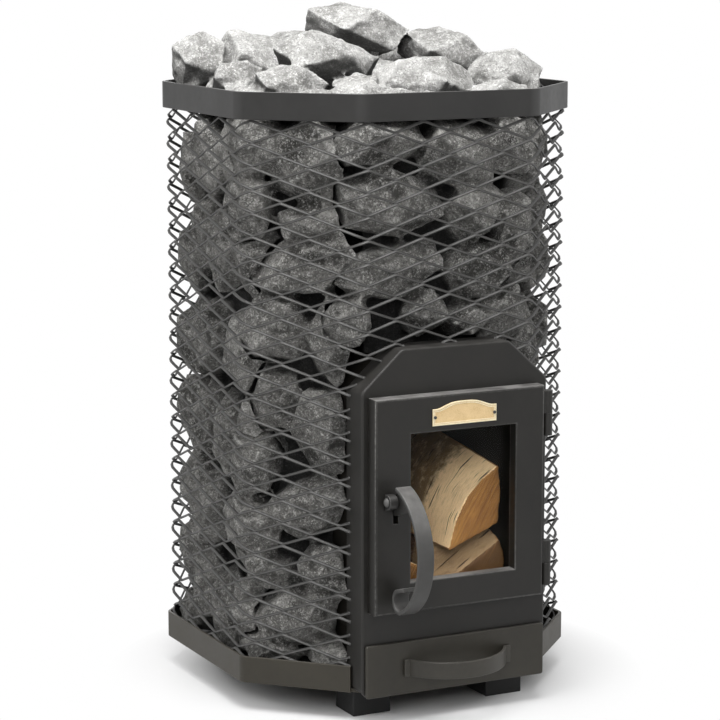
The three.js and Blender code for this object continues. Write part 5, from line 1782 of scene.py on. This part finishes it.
@dataclass
class AshDrawer:
    """The drawer's front, tray and bowed pull."""

    edge: float = mm(1.6)
    pull_half_span: float = 70
    pull_bow: float = 42
    pull_thickness: float = 4
    pull_foot: float = 7.5
    pull_low: float = 61.5
    pull_high: float = 83.5
    pull_gap: float = 0.3
    face_y: float = -264
    steps: int = 44

    def build(self) -> None:
        """Builds and dresses the drawer."""
        softened_node("drawer_front", "drawer_face", Body.DRAWER, DRAWER_PAINT, self.edge, 3)
        finish_nodes(FIRE_STEEL, "drawer_tray")
        self.pull()

    def pull(self) -> None:
        """Builds the bowed pull from one flat bar."""
        span, bow = self.pull_half_span, self.pull_bow
        radius = (span**2 + bow**2) / (2 * bow)
        base = self.face_y - self.pull_gap - self.pull_thickness / 2
        half = math.asin(span / radius)
        line = [(-span - self.pull_foot, base)]
        for step in range(self.steps + 1):
            turn = half * (2 * step / self.steps - 1)
            line.append((radius * math.sin(turn), base - bow + radius - radius * math.cos(turn)))
        line.append((span + self.pull_foot, base))
        height = (self.pull_low + self.pull_high) / 2
        points = [at(x, y, height) for x, y in line]
        section = rounded_bar(mm(self.pull_high - self.pull_low), mm(self.pull_thickness), mm(1.1), 3)
        shape = bmesh.new()
        sweep(shape, path_stations(points, Vector((0, 0, 1))), section, False)
        mesh = to_mesh("bowed_pull", shape)
        weigh_normals(piece("bowed_pull", mesh, Body.DRAWER, [PULL_PAINT], ["drawer_pull"]))


# Studio


@dataclass(frozen=True)
class Softbox:
    """A square lamp that looks at the heater."""

    name: str
    place: tuple[float, float, float]
    size: float
    power: float


@dataclass
class Studio:
    """Camera, floor, soft lamps and a white surround."""

    eye: tuple[float, float, float] = (-1539.1, -3049.1, 1008.9)
    yaw: float = 0.4656
    pitch: float = 0.1691
    lens: float = 127.31
    floor_half: float = 9.0
    floor_colour: Colour = (0.74, 0.74, 0.74)
    ambient: float = 0.13
    white_from: float = 0.2
    white_to: float = 0.37
    target: tuple[float, float, float] = (0.0, 0.0, 0.45)
    lamps: tuple[Softbox, ...] = (
        Softbox("top softbox", (-0.4, -0.6, 2.3), 1.2, 58.0),
        Softbox("front softbox", (-1.7, -3.2, 2.0), 1.3, 46.0),
        Softbox("left softbox", (-3.0, 0.9, 1.7), 1.4, 30.0),
        Softbox("right softbox", (2.8, -1.6, 1.3), 1.4, 16.0),
        Softbox("rear softbox", (0.9, 3.0, 1.9), 1.4, 20.0),
    )

    def build(self) -> None:
        """Builds the studio."""
        bpy.context.scene.view_settings.view_transform = "Standard"
        self.camera()
        self.floor()
        self.surround()
        for lamp in self.lamps:
            self.lamp(lamp)

    def camera(self) -> None:
        """Sets the camera at the photograph's view."""
        data = bpy.data.cameras.new("view")
        data.lens = self.lens
        data.sensor_width = 36.0
        made = bpy.data.objects.new("view", data)
        bpy.context.scene.collection.objects.link(made)
        made.location = at(*self.eye)
        made.rotation_euler = (math.pi / 2 - self.pitch, 0.0, -self.yaw)
        bpy.context.scene.camera = made

    def floor(self) -> None:
        """Lays the pale floor."""
        shape = bmesh.new()
        bmesh.ops.create_grid(shape, x_segments=2, y_segments=2, size=self.floor_half)
        mesh = bpy.data.meshes.new("floor")
        shape.to_mesh(mesh)
        shape.free()
        material, graph = new_material("pale floor")
        cloud = graph.noise(0.8, 3.0, 0.5)
        shader = graph.principled(
            Base_Color=graph.mix(cloud, self.floor_colour, (0.8, 0.8, 0.8)),
            Roughness=0.9,
            Specular_IOR_Level=0.1,
        )
        away = graph.add("VectorMath", {0: graph.place()}, operation="LENGTH").outputs["Value"]
        white = graph.sum("MULTIPLY", graph.ranged(away, self.white_from, self.white_to), self.seen(graph))
        glow = graph.add("Emission", {"Color": (1.0, 1.0, 1.0, 1.0), "Strength": 1.0})
        graph.surface(graph.add("MixShader", {0: white, 1: shader.outputs[0], 2: glow.outputs[0]}))
        mesh.materials.append(material)
        made = bpy.data.objects.new("floor", mesh)
        bpy.context.scene.collection.objects.link(made)

    def seen(self, graph: Graph) -> bpy.types.NodeSocket:
        """Gives 1 for what the eye sees straight, mirrored or through glass, and 0 for light."""
        path = graph.add("LightPath").outputs
        mirrored = graph.sum("MAXIMUM", path["Is Glossy Ray"], path["Is Transmission Ray"])
        return graph.sum("MAXIMUM", path["Is Camera Ray"], mirrored)

    def surround(self) -> None:
        """Makes the surround white to the eye and in reflections, and dimmer as a light."""
        world = bpy.data.worlds.new("surround")
        bpy.context.scene.world = world
        world.use_nodes = True
        world.node_tree.nodes.clear()
        graph = Graph(world.node_tree)
        strength = graph.ranged(self.seen(graph), 0.0, 1.0, self.ambient, 1.0)
        light = graph.add("Background", {"Color": (1.0, 1.0, 1.0, 1.0), "Strength": strength})
        graph.add("OutputWorld", {"Surface": light.outputs[0]})

    def lamp(self, lamp: Softbox) -> None:
        """Hangs one lamp and turns it to the heater."""
        data = bpy.data.lights.new(lamp.name, "AREA")
        data.size = lamp.size
        data.energy = lamp.power
        made = bpy.data.objects.new(lamp.name, data)
        bpy.context.scene.collection.objects.link(made)
        made.location = lamp.place
        made.rotation_euler = (Vector(self.target) - made.location).to_track_quat("-Z", "Y").to_euler()


def main() -> None:
    """Builds the studio and the heater's sub-assemblies in order."""
    logging.basicConfig(level=logging.INFO, format="%(name)s %(message)s")
    parts = (Studio(), Cage(), StonePacking(), Firebox(), LogStack(), FrontPlate(), Door(), DoorHandle(), AshDrawer())
    for part in parts:
        log.info("building %s", type(part).__name__)
        part.build()


if __name__ == "__main__":
    main()
